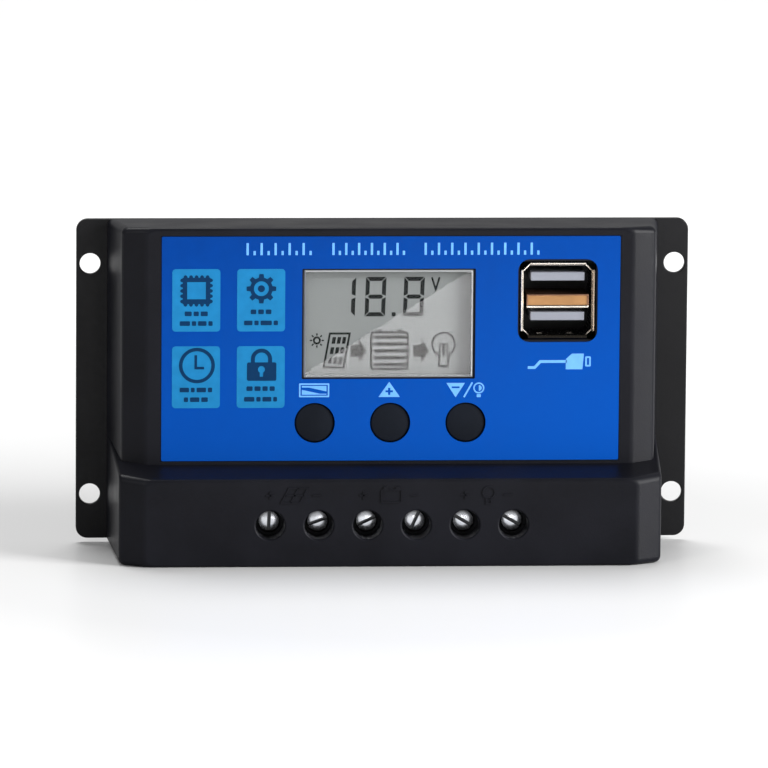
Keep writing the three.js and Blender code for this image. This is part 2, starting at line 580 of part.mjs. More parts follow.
place('terminal_block', terminalBlock(), TERMINAL_GREY);

terminalRow.forEach((x, i) => {
  const number = i + 1;
  const slot = block(-SCREW_HEAD_R - OVER, SCREW_HEAD_R + OVER, SCREW_HEAD_FRONT - SCREW_SLOT_D,
    SCREW_HEAD_FRONT + OVER, -SCREW_SLOT_W / 2, SCREW_SLOT_W / 2);
  const angle = THREE.MathUtils.degToRad(SCREW_SLOT_ANGLES[i % SCREW_SLOT_ANGLES.length]);
  slot.rotateY(-angle).translate(x, 0, TERMINAL_Z);
  const screw = turned([
    [0, SCREW_TIP], [SCREW_SHANK_R, SCREW_TIP], [SCREW_SHANK_R, SCREW_HEAD_BACK],
    [SCREW_HEAD_R, SCREW_HEAD_BACK], [SCREW_HEAD_R, SCREW_HEAD_FRONT], [0, SCREW_HEAD_FRONT],
  ], x, TERMINAL_Z);
  place(`terminal_screw_${number}`, geometryOf(cut(solid(screw), [slot])), STEEL);

  const cage = solid(blockAt(x, CAGE_W, CAGE_BACK, CAGE_FRONT, TERMINAL_Z, CAGE_H));
  const throat = blockAt(x, CAGE_W - 2 * CAGE_WALL, CAGE_BACK + CAGE_WALL, CAGE_FRONT - CAGE_NUT_T,
    TERMINAL_Z, CAGE_H + 2 * OVER);
  const thread = rod(SCREW_SHANK_R + RUN, x, TERMINAL_Z, CAGE_FRONT - CAGE_NUT_T - OVER,
    CAGE_FRONT + OVER, SMALL_ROUND);
  place(`clamp_cage_${number}`, geometryOf(cut(cage, [throat, thread])), NICKEL);

  const barFoot = TERMINAL_Z - CAGE_H / 2;
  const bar = join([
    block(x - BAR_W / 2, x + BAR_W / 2, BAR_BACK, BAR_FRONT, barFoot, BAR_TOP),
    block(x - BAR_W / 2, x + BAR_W / 2, BOARD_DEPTH + OVER, BAR_FRONT, BAR_TOP - BAR_T, BAR_TOP),
    block(x - BAR_PIN_W / 2, x + BAR_PIN_W / 2, BOARD_DEPTH - BOARD_T - OVER, BAR_FRONT,
      BAR_TOP - BAR_T, BAR_TOP),
  ]);
  place(`contact_bar_${number}`, geometryOf(bar), COPPER);
});

// ---------------------------------------------------------------- case screws and board spacers
caseScrewSpots.forEach(([x, z], i) => {
  const sink = CASE_SCREW_HEAD_R - CASE_SCREW_R;
  const profile = [
    [0, -PLATE_T], [CASE_SCREW_HEAD_R, -PLATE_T], [CASE_SCREW_R, sink - PLATE_T],
    [CASE_SCREW_R, CASE_SCREW_REACH - 2 * CASE_SCREW_R], [0, CASE_SCREW_REACH],
  ];
  const across = 2 * CASE_SCREW_HEAD_R * CASE_SCREW_CROSS;
  const recess = [
    blockAt(x, across, -PLATE_T - OVER, -PLATE_T / 2, z, CASE_SCREW_CROSS_W),
    blockAt(x, CASE_SCREW_CROSS_W, -PLATE_T - OVER, -PLATE_T / 2, z, across),
  ];
  place(`case_screw_${i + 1}`, geometryOf(cut(solid(turned(profile, x, z, SMALL_ROUND)), recess)), STEEL);
  place(`board_spacer_${i + 1}`, tube(SPACER_R, CASE_SCREW_R + 2 * RUN, x, z, 0, BOARD_DEPTH - BOARD_T,
    SMALL_ROUND), GREY_PLASTIC);
});

// ---------------------------------------------------------------- power transistors on the plate
for (let i = 0; i < MOSFETS; i += 1) {
  const x = mosfetX(i);
  const bodyTop = MOSFET_FOOT_Z + MOSFET_BODY_H;
  const legDepth = PAD_T + MOSFET_BODY_T / 2;
  const parts = [
    block(x - MOSFET_W / 2, x + MOSFET_W / 2, PAD_T, PAD_T + MOSFET_BODY_T, MOSFET_FOOT_Z, bodyTop),
    block(x - MOSFET_W / 2, x + MOSFET_W / 2, PAD_T, PAD_T + MOSFET_TAB_T, bodyTop - OVER,
      bodyTop + MOSFET_TAB_H),
  ];
  for (const leg of [-1, 0, 1]) {
    const legX = x + leg * MOSFET_LEG_PITCH;
    const bendZ = MOSFET_FOOT_Z - MOSFET_LEG_REACH;
    parts.push(block(legX - MOSFET_LEG_W / 2, legX + MOSFET_LEG_W / 2, legDepth - MOSFET_LEG_W / 2,
      legDepth + MOSFET_LEG_W / 2, bendZ, MOSFET_FOOT_Z + OVER));
    parts.push(blockAt(legX, MOSFET_LEG_W, legDepth - MOSFET_LEG_W / 2, BOARD_DEPTH + OVER, bendZ,
      MOSFET_LEG_W));
  }
  const hole = rod(MOSFET_HOLE_R, x, bodyTop + MOSFET_TAB_H - MOSFET_HOLE_FROM_TOP, PAD_T - OVER,
    MOSFET_BODY_T, SMALL_ROUND);
  place(`mosfet_${i + 1}`, geometryOf(cut(join(parts), [hole])), CHIP_BLACK);
}
const mosfetRowW = (MOSFETS - 1) * MOSFET_PITCH + MOSFET_W + 2 * PAD_MARGIN;
place('thermal_pad', block(-mosfetRowW / 2, mosfetRowW / 2, 0, PAD_T, MOSFET_FOOT_Z - OVER,
  MOSFET_FOOT_Z + MOSFET_BODY_H + MOSFET_TAB_H + OVER), PAD_GREY);

// ---------------------------------------------------------------- other parts on the board
const CAN_HEADROOM = 1.5;     // between a can and the housing's front wall
const CAN_LARGE_R = 5;
const CAN_SMALL_R = 4;
const CAN_FROM_LCD = 7.5;     // middles of the cans from the display's edge
const CAN_LARGE_Z = LCD_Z + 3;
const CAN_SMALL_Z = LCD_Z - 8;
const CAN_GROOVE = 0.35;      // depth of the groove round a can
const CAN_GROOVE_DROP = 2.1;  // middle of the groove under the can's top
const CAN_GROOVE_HALF = 0.5;
const CAN_EDGE = 0.4;
function capacitor(r, z) {
  const top = FACE_INSIDE - CAN_HEADROOM;
  const groove = top - CAN_GROOVE_DROP;
  return turned([
    [0, BOARD_DEPTH], [r, BOARD_DEPTH], [r, groove - CAN_GROOVE_HALF], [r - CAN_GROOVE, groove],
    [r, groove + CAN_GROOVE_HALF], [r, top - CAN_EDGE], [r - CAN_EDGE, top], [0, top],
  ], LCD_X - LCD_GLASS_W / 2 - CAN_FROM_LCD, z);
}
place('capacitor_large', capacitor(CAN_LARGE_R, CAN_LARGE_Z), CAN_SLEEVE);
place('capacitor_small', capacitor(CAN_SMALL_R, CAN_SMALL_Z), CAN_SLEEVE);

const INDUCTOR_R = 5;
const INDUCTOR_CORE_R = 3.6;
const INDUCTOR_H = 7;
const INDUCTOR_FLANGE_T = 1.2;
const INDUCTOR_OVER_BUTTONS = 8;
function inductor(x, z) {
  const top = BOARD_DEPTH + INDUCTOR_H;
  const lower = BOARD_DEPTH + INDUCTOR_FLANGE_T;
  const upper = top - INDUCTOR_FLANGE_T;
  return turned([
    [0, BOARD_DEPTH], [INDUCTOR_R, BOARD_DEPTH], [INDUCTOR_R, lower], [INDUCTOR_CORE_R, lower],
    [INDUCTOR_CORE_R, upper], [INDUCTOR_R, upper], [INDUCTOR_R, top], [0, top],
  ], x, z);
}
place('inductor', inductor(USB_X, BUTTON_Z + INDUCTOR_OVER_BUTTONS), FERRITE);

const CHIP_W = 10.5;
const CHIP_H = 7.5;
const CHIP_T = 2;
const CHIP_SEAT = 0.2;        // gap under the chip
const CHIP_LEGS = 8;          // to a side
const CHIP_LEG_PITCH = 1.27;
const CHIP_LEG_W = 0.45;
const CHIP_LEG_L = 1.4;
const CHIP_LEG_OUT = 0.4;     // middle of a leg past the chip's side
const CHIP_FROM_BUTTON = 13;
const CHIP_UNDER_BUTTON = 1;
function chip(x, z) {
  const seat = BOARD_DEPTH + CHIP_SEAT;
  const parts = [blockAt(x, CHIP_W, seat, seat + CHIP_T, z, CHIP_H)];
  for (const side of [-1, 1]) {
    for (let i = 0; i < CHIP_LEGS; i += 1) {
      const legX = x + (i - (CHIP_LEGS - 1) / 2) * CHIP_LEG_PITCH;
      const legZ = z + side * (CHIP_H / 2 + CHIP_LEG_OUT);
      parts.push(blockAt(legX, CHIP_LEG_W, BOARD_DEPTH, BOARD_DEPTH + CHIP_T / 2, legZ, CHIP_LEG_L));
    }
  }
  return geometryOf(join(parts));
}
place('controller_chip', chip(buttonX(0) - CHIP_FROM_BUTTON, BUTTON_Z - CHIP_UNDER_BUTTON), CHIP_BLACK);

export default controller;
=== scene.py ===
"""Visible pieces, finishes and studio of a small solar charge controller, built on its packed frame."""

from itertools import product
import json
import math

import bmesh
import bpy
from bpy.props import FloatProperty, FloatVectorProperty, PointerProperty
from mathutils import Matrix, Vector
from mathutils.geometry import tessellate_polygon


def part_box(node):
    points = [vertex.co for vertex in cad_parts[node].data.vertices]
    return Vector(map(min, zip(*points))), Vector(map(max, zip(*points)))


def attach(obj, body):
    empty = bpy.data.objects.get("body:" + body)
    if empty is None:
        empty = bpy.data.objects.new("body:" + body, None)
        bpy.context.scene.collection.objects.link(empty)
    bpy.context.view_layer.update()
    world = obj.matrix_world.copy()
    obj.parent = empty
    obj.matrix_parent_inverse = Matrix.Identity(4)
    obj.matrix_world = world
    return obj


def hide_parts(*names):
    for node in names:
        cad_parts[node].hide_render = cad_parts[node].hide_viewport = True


bl_info = {
    "name": "Solar Charge Controller",
    "version": (1, 0, 0),
    "blender": (4, 5, 0),
    "location": "3D View > Sidebar > Controller",
    "description": "Builds the visible pieces of a small solar charge controller on its frame",
    "category": "Add Mesh",
}

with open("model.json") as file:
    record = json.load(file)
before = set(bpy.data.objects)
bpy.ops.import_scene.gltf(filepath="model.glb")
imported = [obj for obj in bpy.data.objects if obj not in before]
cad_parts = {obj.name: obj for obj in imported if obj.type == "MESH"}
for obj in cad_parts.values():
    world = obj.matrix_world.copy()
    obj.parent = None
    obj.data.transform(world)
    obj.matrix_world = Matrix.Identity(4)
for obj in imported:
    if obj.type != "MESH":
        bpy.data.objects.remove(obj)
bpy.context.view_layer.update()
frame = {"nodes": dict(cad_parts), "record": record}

MM = 0.001
CASE = "case"
BUTTONS = ("menu", "up", "down")
CLAMPS = range(1, 7)
SIDES = 48                 # of a round piece
EDGE_STEPS = 4             # of a rounded edge in a turned profile
SMOOTH_UNDER = math.radians(32)


# ---------------------------------------------------------------- places taken from the frame
def low(node):
    """Lowest corner of a frame node, in millimetres."""
    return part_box(node)[0] / MM


def high(node):
    """Highest corner of a frame node, in millimetres."""
    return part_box(node)[1] / MM


def middle(node):
    """Middle of a frame node's box, in millimetres."""
    return (low(node) + high(node)) / 2


PLATE_FRONT = low("back_plate").y


def y_at(depth):
    """The y of a depth in front of the back plate."""
    return PLATE_FRONT - depth


def front_of(node):
    """How far a node's front stands before the back plate."""
    return PLATE_FRONT - low(node).y


def back_of(node):
    """How far a node's back stands before the back plate."""
    return PLATE_FRONT - high(node).y


BODY_TOP = high("front_housing").z
BODY_BASE_HALF = high("front_housing").x
FACE_DEPTH = front_of("face_label")
HOOD_DEPTH = front_of("front_housing")
LCD = middle("lcd_window")
USB = middle("usb_shell")
BUTTON_PLACES = [middle(f"button_{n}") for n in BUTTONS]
CLAMP_PLACES = [middle(f"terminal_screw_{i}") for i in CLAMPS]

# section of the housing, as the frame has it: half widths and depths
FACE_EDGE_HALF = 57.4
FACE_HALF = 52.4
FACE_EDGE_DEPTH = 19.7
HOOD_EDGE_HALF = 58.3
HOOD_HALF = 53.0
HOOD_EDGE_DEPTH = 28.9
HOOD_TOP_BACK = 20.7
HOOD_TOP_FRONT = 19.0
FACE_TOP_FALL = 1.0
FACE_BAR_FOOT = 4.0        # inside the hood, which it joins
BOARD_DEPTH = 8.0
WIRE_ENTRY_HALF = 3.8
WIRE_ENTRY_BACK = 8.05
WIRE_ENTRY_FRONT = 23.25
BOSS_X = 51.5
BOSS_ZS = (7.0, 65.0)
BOSS_R = 3.5
SINK_R = 3.05              # mouths of the case screws' sinks in the plate
HOLE_FROM_SIDE = 3.0       # fixing holes from the plate's sides and ends
HOLE_FROM_END = 9.75
SCREW_BORE_R = 1.55
SCREW_BORE_END = 17.0
LABEL_T = 0.4
MARK_ROOT = 0.2            # how far the hood's marks start inside it
BLOCK_FRONT = front_of("terminal_block")


# ---------------------------------------------------------------- settings
def length(name, description, millimetres):
    """A length property whose default is given in millimetres."""
    return FloatProperty(name=name, description=description, default=millimetres * MM, min=0.0,
                         max=1.0, precision=5, unit="LENGTH")


def colour(name, description, red, green, blue):
    """A colour property."""
    return FloatVectorProperty(name=name, description=description, default=(red, green, blue),
                               min=0.0, max=1.0, size=3, subtype="COLOR")


class ControllerSizes(bpy.types.PropertyGroup):
    """Sizes that the visible pieces add to the frame"""

    edge_radius: length("Housing edges", "Rounding of the moulded housing's outer edges", 0.7)
    corner_radius: length("Housing corners", "Rounding of the housing's long side corners", 1.5)
    lip_radius: length("Hole lips", "Rounding of the mouths of the screwdriver holes", 0.45)
    wall: length("Wall", "Thickness of the housing's walls", 2.0)
    hole_radius: length("Screwdriver holes", "Radius of the holes over the clamp screws", 3.1)
    plate_corner: length("Plate corners", "Corner radius of the back plate", 2.5)
    fixing_hole: length("Fixing holes", "Radius of the holes in the plate's ears", 2.25)
    print_relief: length("Print", "Thickness of the printed marks on the label", 0.03)
    mark_relief: length("Moulded marks", "Height of the marks moulded on the hood", 0.22)
    button_radius: length("Button", "Radius of a push button's cap", 4.2)
    button_crown: length("Button crown", "How far a button's cap is domed", 0.25)
    screw_crown: length("Screw crown", "How far a clamp screw's head is domed", 0.22)
    slot_width: length("Screw slot", "Width of the slot in a clamp screw's head", 0.75)
    digit_height: length("Digit height", "Height of the digits on the display", 8.3)
    digit_width: length("Digit width", "Width of a digit on the display", 4.4)


class ControllerColours(bpy.types.PropertyGroup):
    """Base colours of the finishes"""

    housing: colour("Housing", "Black moulded plastic", 0.0052, 0.0054, 0.0078)
    plate: colour("Back plate", "Black paint on the steel plate", 0.0060, 0.0060, 0.0068)
    label_left: colour("Label, left", "Blue of the label at its left end", 0.0004, 0.033, 0.20)
    label_right: colour("Label, right", "Blue of the label at its right end", 0.0008, 0.058, 0.325)
    tile: colour("Tiles", "Light blue of the four printed tiles", 0.011, 0.152, 0.345)
    icon: colour("Icons", "Dark navy of the printed icons", 0.003, 0.025, 0.075)
    mark: colour("Marks", "Pale blue of the marks by buttons and sockets", 0.12, 0.33, 0.70)
    display: colour("Display", "Grey of the liquid crystal display", 0.178, 0.182, 0.18)
    rim: colour("Window rim", "Light bevelled rim of the display window", 0.31, 0.32, 0.32)
    # painted highlight: the rim's light grey stands for light caught on the window's bevelled edge
    segment: colour("Segments", "Dark segments of the display", 0.006, 0.007, 0.007)
    faint: colour("Faint segments", "Grey of the display's arrows and bars", 0.016, 0.017, 0.016)
    button: colour("Buttons", "Navy black of the push buttons", 0.0050, 0.0066, 0.0105)
    nickel: colour("Shell", "Nickel plating of the socket shell", 0.60, 0.56, 0.49)
    # real copper on the contacts; on the divider the same colour is a painted reflection in the nickel
    # partition
    copper: colour("Copper", "Copper of contacts and divider", 0.36, 0.195, 0.085)
    tongue: colour("Tongues", "Lavender white of the socket tongues", 0.19, 0.20, 0.235)
    screw: colour("Screws", "Zinc plating of the clamp screws", 0.76, 0.78, 0.82)
    floor: colour("Floor", "Pale studio floor", 0.90, 0.90, 0.90)


# ---------------------------------------------------------------- drawn shapes, seen from the front
def disc(x, z, radius, sides=SIDES, start=0.0, sweep=2 * math.pi):
    """A round loop, or an arc of one."""
    whole = abs(sweep - 2 * math.pi) < 1e-6
    steps = sides if whole else sides + 1
    angles = (start + sweep * i / sides for i in range(steps))
    return [(x + radius * math.cos(a), z + radius * math.sin(a)) for a in angles]


def rounded(x0, x1, z0, z1, radius, steps=5):
    """A rectangle with round corners."""
    corners = ((x1 - radius, z0 + radius), (x1 - radius, z1 - radius),
               (x0 + radius, z1 - radius), (x0 + radius, z0 + radius))
    points = []
    for i, (x, z) in enumerate(corners):
        points += disc(x, z, radius, steps, (i - 1) * math.pi / 2, math.pi / 2)
    return points


def box(x0, x1, z0, z1):
    """A plain rectangle."""
    return [(x0, z0), (x1, z0), (x1, z1), (x0, z1)]


def solid_shape(loop):
    """A drawn shape without holes."""
    return loop, []


def ring(x, z, outer, inner, sides=SIDES):
    """A drawn ring."""
    return disc(x, z, outer, sides), [disc(x, z, inner, sides)]


def frame_shape(x0, x1, z0, z1, radius, stroke):
    """A rectangle's outline drawn with a stroke."""
    inner = max(radius - stroke, 0.05)
    return (rounded(x0, x1, z0, z1, radius),
            [rounded(x0 + stroke, x1 - stroke, z0 + stroke, z1 - stroke, inner)])


def line(points, stroke, closed=False):
    """A line through points, drawn with a stroke and mitred at its bends."""
    points = [Vector(p) for p in points]
    count = len(points)
    left, right = [], []
    for i, point in enumerate(points):
        before = points[i - 1] if closed or i else None
        after = points[(i + 1) % count] if closed or i + 1 < count else None
        ways = [(b - a).normalized() for a, b in ((before, point), (point, after)) if a and b]
        across = [Vector((-w.y, w.x)) for w in ways]
        mitre = sum(across, Vector((0, 0))).normalized()
        reach = stroke / 2 / max(mitre.dot(across[-1]), 0.3)
        left.append(tuple(point + mitre * reach))
        right.append(tuple(point - mitre * reach))
    if not closed:
        return left + right[::-1], []
    sides = sorted((left, right), key=lambda loop: abs(area_of(loop)))
    return sides[1], [sides[0]]


def area_of(loop):
    """Signed area of a loop."""
    pairs = zip(loop, loop[1:] + loop[:1])
    return sum(a[0] * b[1] - b[0] * a[1] for a, b in pairs) / 2


def moved(shape, x, z, tall=1.0):
    """A drawn shape moved sideways and up, and made taller about its zero."""
    def at(loop):
        return [(px + x, pz * tall + z) for px, pz in loop]

    outer, holes = shape
    return at(outer), [at(hole) for hole in holes]


# ---------------------------------------------------------------- solids, in millimetres
def walls(bm, one, two):
    """Join two loops of corners by a wall."""
    for i, corner in enumerate(one):
        j = (i + 1) % len(one)
        bm.faces.new((corner, one[j], two[j], two[i]))


def flat(bm, shape, back, front):
    """Close a drawn shape into a solid between two depths."""
    outer, holes = shape
    loops = [outer, *holes]
    rows = [[bm.verts.new((x, y_at(depth), z)) for loop in loops for x, z in loop]
            for depth in (back, front)]
    outline = [[Vector((x, z, 0)) for x, z in loop] for loop in loops]
    for corners in tessellate_polygon(outline):
        for row in rows:
            bm.faces.new([row[c] for c in corners])
    start = 0
    for loop in loops:
        end = start + len(loop)
        walls(bm, *(row[start:end] for row in rows))
        start = end


def slab(bm, x0, x1, back, front, z0, z1, soft=0.0, steps=2):
    """A block, with its edges rounded by soft."""
    place = Matrix.Translation(((x0 + x1) / 2, y_at((back + front) / 2), (z0 + z1) / 2))
    scale = Matrix.Diagonal((x1 - x0, front - back, z1 - z0, 1))
    made = bmesh.ops.create_cube(bm, size=1, matrix=place @ scale)["verts"]
    if soft:
        edges = list(dict.fromkeys(e for v in made for e in v.link_edges))
        bmesh.ops.bevel(bm, geom=edges, offset=soft, segments=steps, profile=0.5,
                        affect="EDGES", clamp_overlap=True)


def turned(bm, profile, x, z):
    """A piece turned about the front-to-back axis, from its radii and depths."""
    rings = []
    for radius, depth in profile:
        loop = disc(x, z, radius) if radius else [(x, z)]
        rings.append([bm.verts.new((px, y_at(depth), pz)) for px, pz in loop])
    for one, two in zip(rings, rings[1:]):
        for i in range(SIDES):
            j = (i + 1) % SIDES
            corners = (one[i % len(one)], one[j % len(one)], two[j % len(two)], two[i % len(two)])
            corners = list(dict.fromkeys(corners))
            if len(corners) > 2:
                bm.faces.new(corners)


def arc(x, depth, radius, start, sweep):
    """Points of a rounded edge in a profile: radius and depth pairs."""
    return disc(x, depth, radius, EDGE_STEPS, start, sweep)


def linked(name, data):
    """A new object in the scene."""
    obj = bpy.data.objects.new(name, data)
    bpy.context.scene.collection.objects.link(obj)
    return obj


def held(name, bm):
    """Put a mesh in millimetres into the scene as an object in metres."""
    bmesh.ops.remove_doubles(bm, verts=bm.verts, dist=1e-5)
    bmesh.ops.recalc_face_normals(bm, faces=bm.faces)
    bmesh.ops.scale(bm, vec=(MM, MM, MM), verts=bm.verts)
    mesh = bpy.data.meshes.new(name)
    bm.to_mesh(mesh)
    bm.free()
    return linked(name, mesh)


def baked(obj):
    """Replace an object's mesh by what its modifiers make of it, and drop them."""
    depsgraph = bpy.context.evaluated_depsgraph_get()
    mesh = bpy.data.meshes.new_from_object(obj.evaluated_get(depsgraph))
    obj.modifiers.clear()
    obj.data = mesh


def carved(base, tools, operation):
    """Join or cut tool objects into base in one exact step."""
    group = bpy.data.collections.new("tools")
    for tool in tools:
        group.objects.link(tool)
    modifier = base.modifiers.new("carve", "BOOLEAN")
    modifier.operation = operation
    modifier.solver = "EXACT"
    modifier.operand_type = "COLLECTION"
    modifier.collection = group
    baked(base)
    bpy.data.collections.remove(group)
    for tool in tools:
        bpy.data.objects.remove(tool)
    if not base.data.polygons:
        raise RuntimeError(f"{base.name}: nothing was left after {operation.lower()}")
    return base


def smoothed(obj, weighted):
    """Shade smooth with sharp creases, and keep flat faces flat beside rounded edges."""
    obj.data.shade_smooth()
    obj.data.set_sharp_from_angle(angle=SMOOTH_UNDER)
    if weighted:
        modifier = obj.modifiers.new("flat faces", "WEIGHTED_NORMAL")
        modifier.keep_sharp = True
        modifier.weight = 80
        baked(obj)


def settle(obj, finish, nodes, body=CASE, weighted=True):
    """Finish a piece: its shading, material, body, slot and the nodes it stands for."""
    obj.data.materials.clear()
    obj.data.materials.append(Finishes.get(finish))
    smoothed(obj, weighted)
    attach(obj, body)
    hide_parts(*nodes)


def piece(name, bm, finish, slot, node, body=CASE, weighted=True):
    """Make a mesh in millimetres a finished piece that stands for one node."""
    settle(held(name, bm), finish, [node], body, weighted)


def blocks(name, finish, slot, node, *sizes):
    """A finished piece of one or more blocks, each given by its slab sizes."""
    bm = bmesh.new()
    for size in sizes:
        slab(bm, *size)
    piece(name, bm, finish, slot, node)


def drawn(name, shapes, back, front, finish, slot, node):
    """A finished piece of drawn shapes, each closed between two depths."""
    bm = bmesh.new()
    for shape in shapes:
        flat(bm, shape, back, front)
    piece(name, bm, finish, slot, node, weighted=False)


# ---------------------------------------------------------------- finishes
def put(tree, value, socket):
    """Feed a socket from a value or another socket."""
    if isinstance(value, bpy.types.NodeSocket):
        tree.links.new(value, socket)
    else:
        socket.default_value = value


def new_node(tree, kind, inputs, settings):
    """Add a node to a tree, and set its properties and its inputs."""
    node = tree.nodes.new(kind)
    for key, value in settings.items():
        setattr(node, key, value)
    for key, value in dict(inputs).items():
        put(tree, value, node.inputs[key])
    return node


class Nodes:
    """A material's node tree, built a node at a time."""

    def __init__(self, name):
        self.material = bpy.data.materials.new(name)
        self.material.use_nodes = True
        self.tree = self.material.node_tree
        self.shader = self.tree.nodes["Principled BSDF"]
        self.where = self.tree.nodes.new("ShaderNodeTexCoord").outputs["Object"]

    def add(self, kind, inputs=(), **settings):
        """Add a node, set its properties and its inputs, which are values or sockets."""
        return new_node(self.tree, "ShaderNode" + kind, inputs, settings)

    def stretched(self, scale):
        """The place on the piece, with each axis scaled."""
        return self.add("Mapping", {"Vector": self.where, "Scale": scale}).outputs["Vector"]

    def noise(self, scale, detail=2.0, where=None):
        """Soft noise from 0 to 1."""
        inputs = {"Vector": where or self.where, "Scale": scale, "Detail": detail}
        return self.add("TexNoise", inputs).outputs["Fac"]

    def span(self, value, low_out, high_out, low_in=0.3, high_in=0.7):
        """Map a value to a range."""
        inputs = {"Value": value, "From Min": low_in, "From Max": high_in, "To Min": low_out,
                  "To Max": high_out}
        return self.add("MapRange", inputs).outputs["Result"]

    def blend(self, factor, one, two):
        """Mix two colours, each a colour or a socket."""
        return self.add("Mix", {0: factor, 6: one, 7: two}, data_type="RGBA").outputs[2]

    def mottled(self, by, base, less, more):
        """A base colour that runs between a darker and a lighter share of itself."""
        return self.blend(self.span(by, 0.0, 1.0), opaque(base, less), opaque(base, more))

    def bump(self, height, distance, strength=1.0):
        """Raise the surface by a height map."""
        inputs = {"Height": height, "Distance": distance, "Strength": strength}
        return self.add("Bump", inputs).outputs["Normal"]

    def feed(self, **sockets):
        """Feed the shader's inputs, given with underscores for spaces."""
        for key, value in sockets.items():
            put(self.tree, value, self.shader.inputs[key.replace("_", " ")])
        return self.material

    def surface(self, node):
        """Make a node the material's surface in place of the shader."""
        output = self.tree.nodes["Material Output"]
        self.tree.links.new(node.outputs[0], output.inputs["Surface"])
        return self.material


def opaque(values, share=1.0):
    """A colour with alpha, made darker or lighter by a share."""
    return (*(min(v * share, 1.0) for v in values), 1.0)


def moulded(name, base, rough=0.42, grain=2600.0, depth=0.00002, gloss=0.10, mottle=0.22):
    """Injection-moulded plastic: fine spark-eroded grain, slight flow mottling and uneven sheen."""
    n = Nodes(name)
    cloud = n.noise(70.0, 3.0)
    fine = n.noise(grain, 2.0)
    tint = n.mottled(cloud, base, 1 - mottle, 1 + mottle)
    return n.feed(Base_Color=tint, Roughness=n.span(cloud, rough - 0.05, rough + 0.06),
                  Normal=n.bump(fine, depth), Specular_IOR_Level=gloss)


def painted(name, base):
    """Powder paint on sheet steel: orange-peel texture and a satin sheen."""
    n = Nodes(name)
    cloud = n.noise(45.0, 3.0)
    peel = n.noise(900.0, 2.0)
    tint = n.mottled(cloud, base, 0.85, 1.2)
    return n.feed(Base_Color=tint, Roughness=n.span(peel, 0.36, 0.48), Normal=n.bump(peel, 0.00003),
                  Specular_IOR_Level=0.16)


def plated(name, base, rough=0.22, brush=(1.0, 1.0, 1.0), stain=0.12):
    """Plated metal: fine draw lines along one axis and faint staining."""
    n = Nodes(name)
    lines = n.noise(4200.0, 3.0, n.stretched(brush))
    cloud = n.noise(260.0, 3.0)
    tint = n.mottled(cloud, base, 1 - stain, 1 + stain / 2)
    return n.feed(Base_Color=tint, Metallic=1.0, Roughness=n.span(lines, rough - 0.06, rough + 0.1),
                  Normal=n.bump(lines, 0.0000008))


def recessed_steel(base):
    """Zinc-plated screw steel, with oil-dark grime below the face of the heads."""
    n = Nodes("clamp_screw_steel")
    lines = n.noise(1300.0, 3.0)
    cloud = n.noise(420.0, 3.0)
    depth = n.add("SeparateXYZ", {"Vector": n.where}).outputs["Y"]
    face = low("terminal_screw_1").y * MM
    # painted shade: the steel goes nearly black deeper than the head faces, where the holes shade it
    painted_recess_shade = n.span(depth, 0.0, 1.0, face + 0.45 * MM, face + 0.75 * MM)
    unshaded_tint = n.mottled(cloud, base, 0.82, 1.1)
    tint = n.blend(painted_recess_shade, unshaded_tint, opaque(base, 0.05))
    return n.feed(Base_Color=tint, Metallic=1.0, Roughness=n.span(lines, 0.15, 0.25),
                  Normal=n.bump(lines, 0.000003))


def socket_nickel(base):
    """Nickel of the socket shell: bright at the top and left, heat-browned to the right and foot."""
    n = Nodes("socket_nickel")
    lines = n.noise(4200.0, 3.0, n.stretched((1.0, 0.05, 1.0)))
    axes = n.add("SeparateXYZ", {"Vector": n.where}).outputs
    # painted shade: a warm grey to the right, near black at the foot and deep inside the shell
    right = n.span(axes["X"], 0.0, 1.0, (USB.x + 6.2) * MM, (USB.x + 7.2) * MM)
    foot = n.span(axes["Z"], 1.0, 0.0, (USB.z - 7.4) * MM, (USB.z - 6.4) * MM)
    deep_painted_shade = n.span(axes["Y"], 0.0, 1.0, y_at(front_of("usb_shell") - 1.4) * MM,
                  y_at(front_of("usb_shell") - 2.6) * MM)
    # the painted shade laid over the nickel: right side, foot and inside in turn
    tint = n.blend(right, opaque(base), (0.24, 0.195, 0.15, 1.0))
    tint = n.blend(foot, tint, (0.05, 0.044, 0.036, 1.0))
    tint = n.blend(deep_painted_shade, tint, (0.045, 0.042, 0.036, 1.0))
    return n.feed(Base_Color=tint, Metallic=1.0, Roughness=n.span(lines, 0.2, 0.32),
                  Normal=n.bump(lines, 0.0000008))


def printed(name, base, rough=0.34, share=0.07):
    """Screen-printed ink: slightly uneven cover and a satin skin."""
    n = Nodes(name)
    cover = n.noise(420.0, 4.0)
    tint = n.mottled(cover, base, 1 - share, 1 + share)
    return n.feed(Base_Color=tint, Roughness=n.span(cover, rough - 0.04, rough + 0.05),
                  Normal=n.bump(n.noise(1800.0), 0.000004), Specular_IOR_Level=0.03)


def overlay_blue(left, right):
    """The label's blue print under a clear film: deepest at the top left, lighter to the foot."""
    n = Nodes("label_blue_print")
    axes = n.add("SeparateXYZ", {"Vector": n.where}).outputs
    along = n.span(axes["X"], 0.0, 0.25, -0.045, 0.040)
    down = n.span(axes["Z"], 0.75, 0.0, 0.022, 0.070)
    shade = n.add("Math", {0: along, 1: down}, operation="ADD", use_clamp=True).outputs[0]
    base = n.blend(shade, opaque(left), opaque(right))
    cover = n.span(n.noise(330.0, 4.0), 0.0, 1.0)
    tint = n.blend(n.span(cover, 0.0, 0.10, 0.0, 1.0), base, opaque(right, 1.15))
    return n.feed(Base_Color=tint, Roughness=n.span(cover, 0.30, 0.38, 0.0, 1.0),
                  Normal=n.bump(n.noise(700.0), 0.000008), Specular_IOR_Level=0.03)


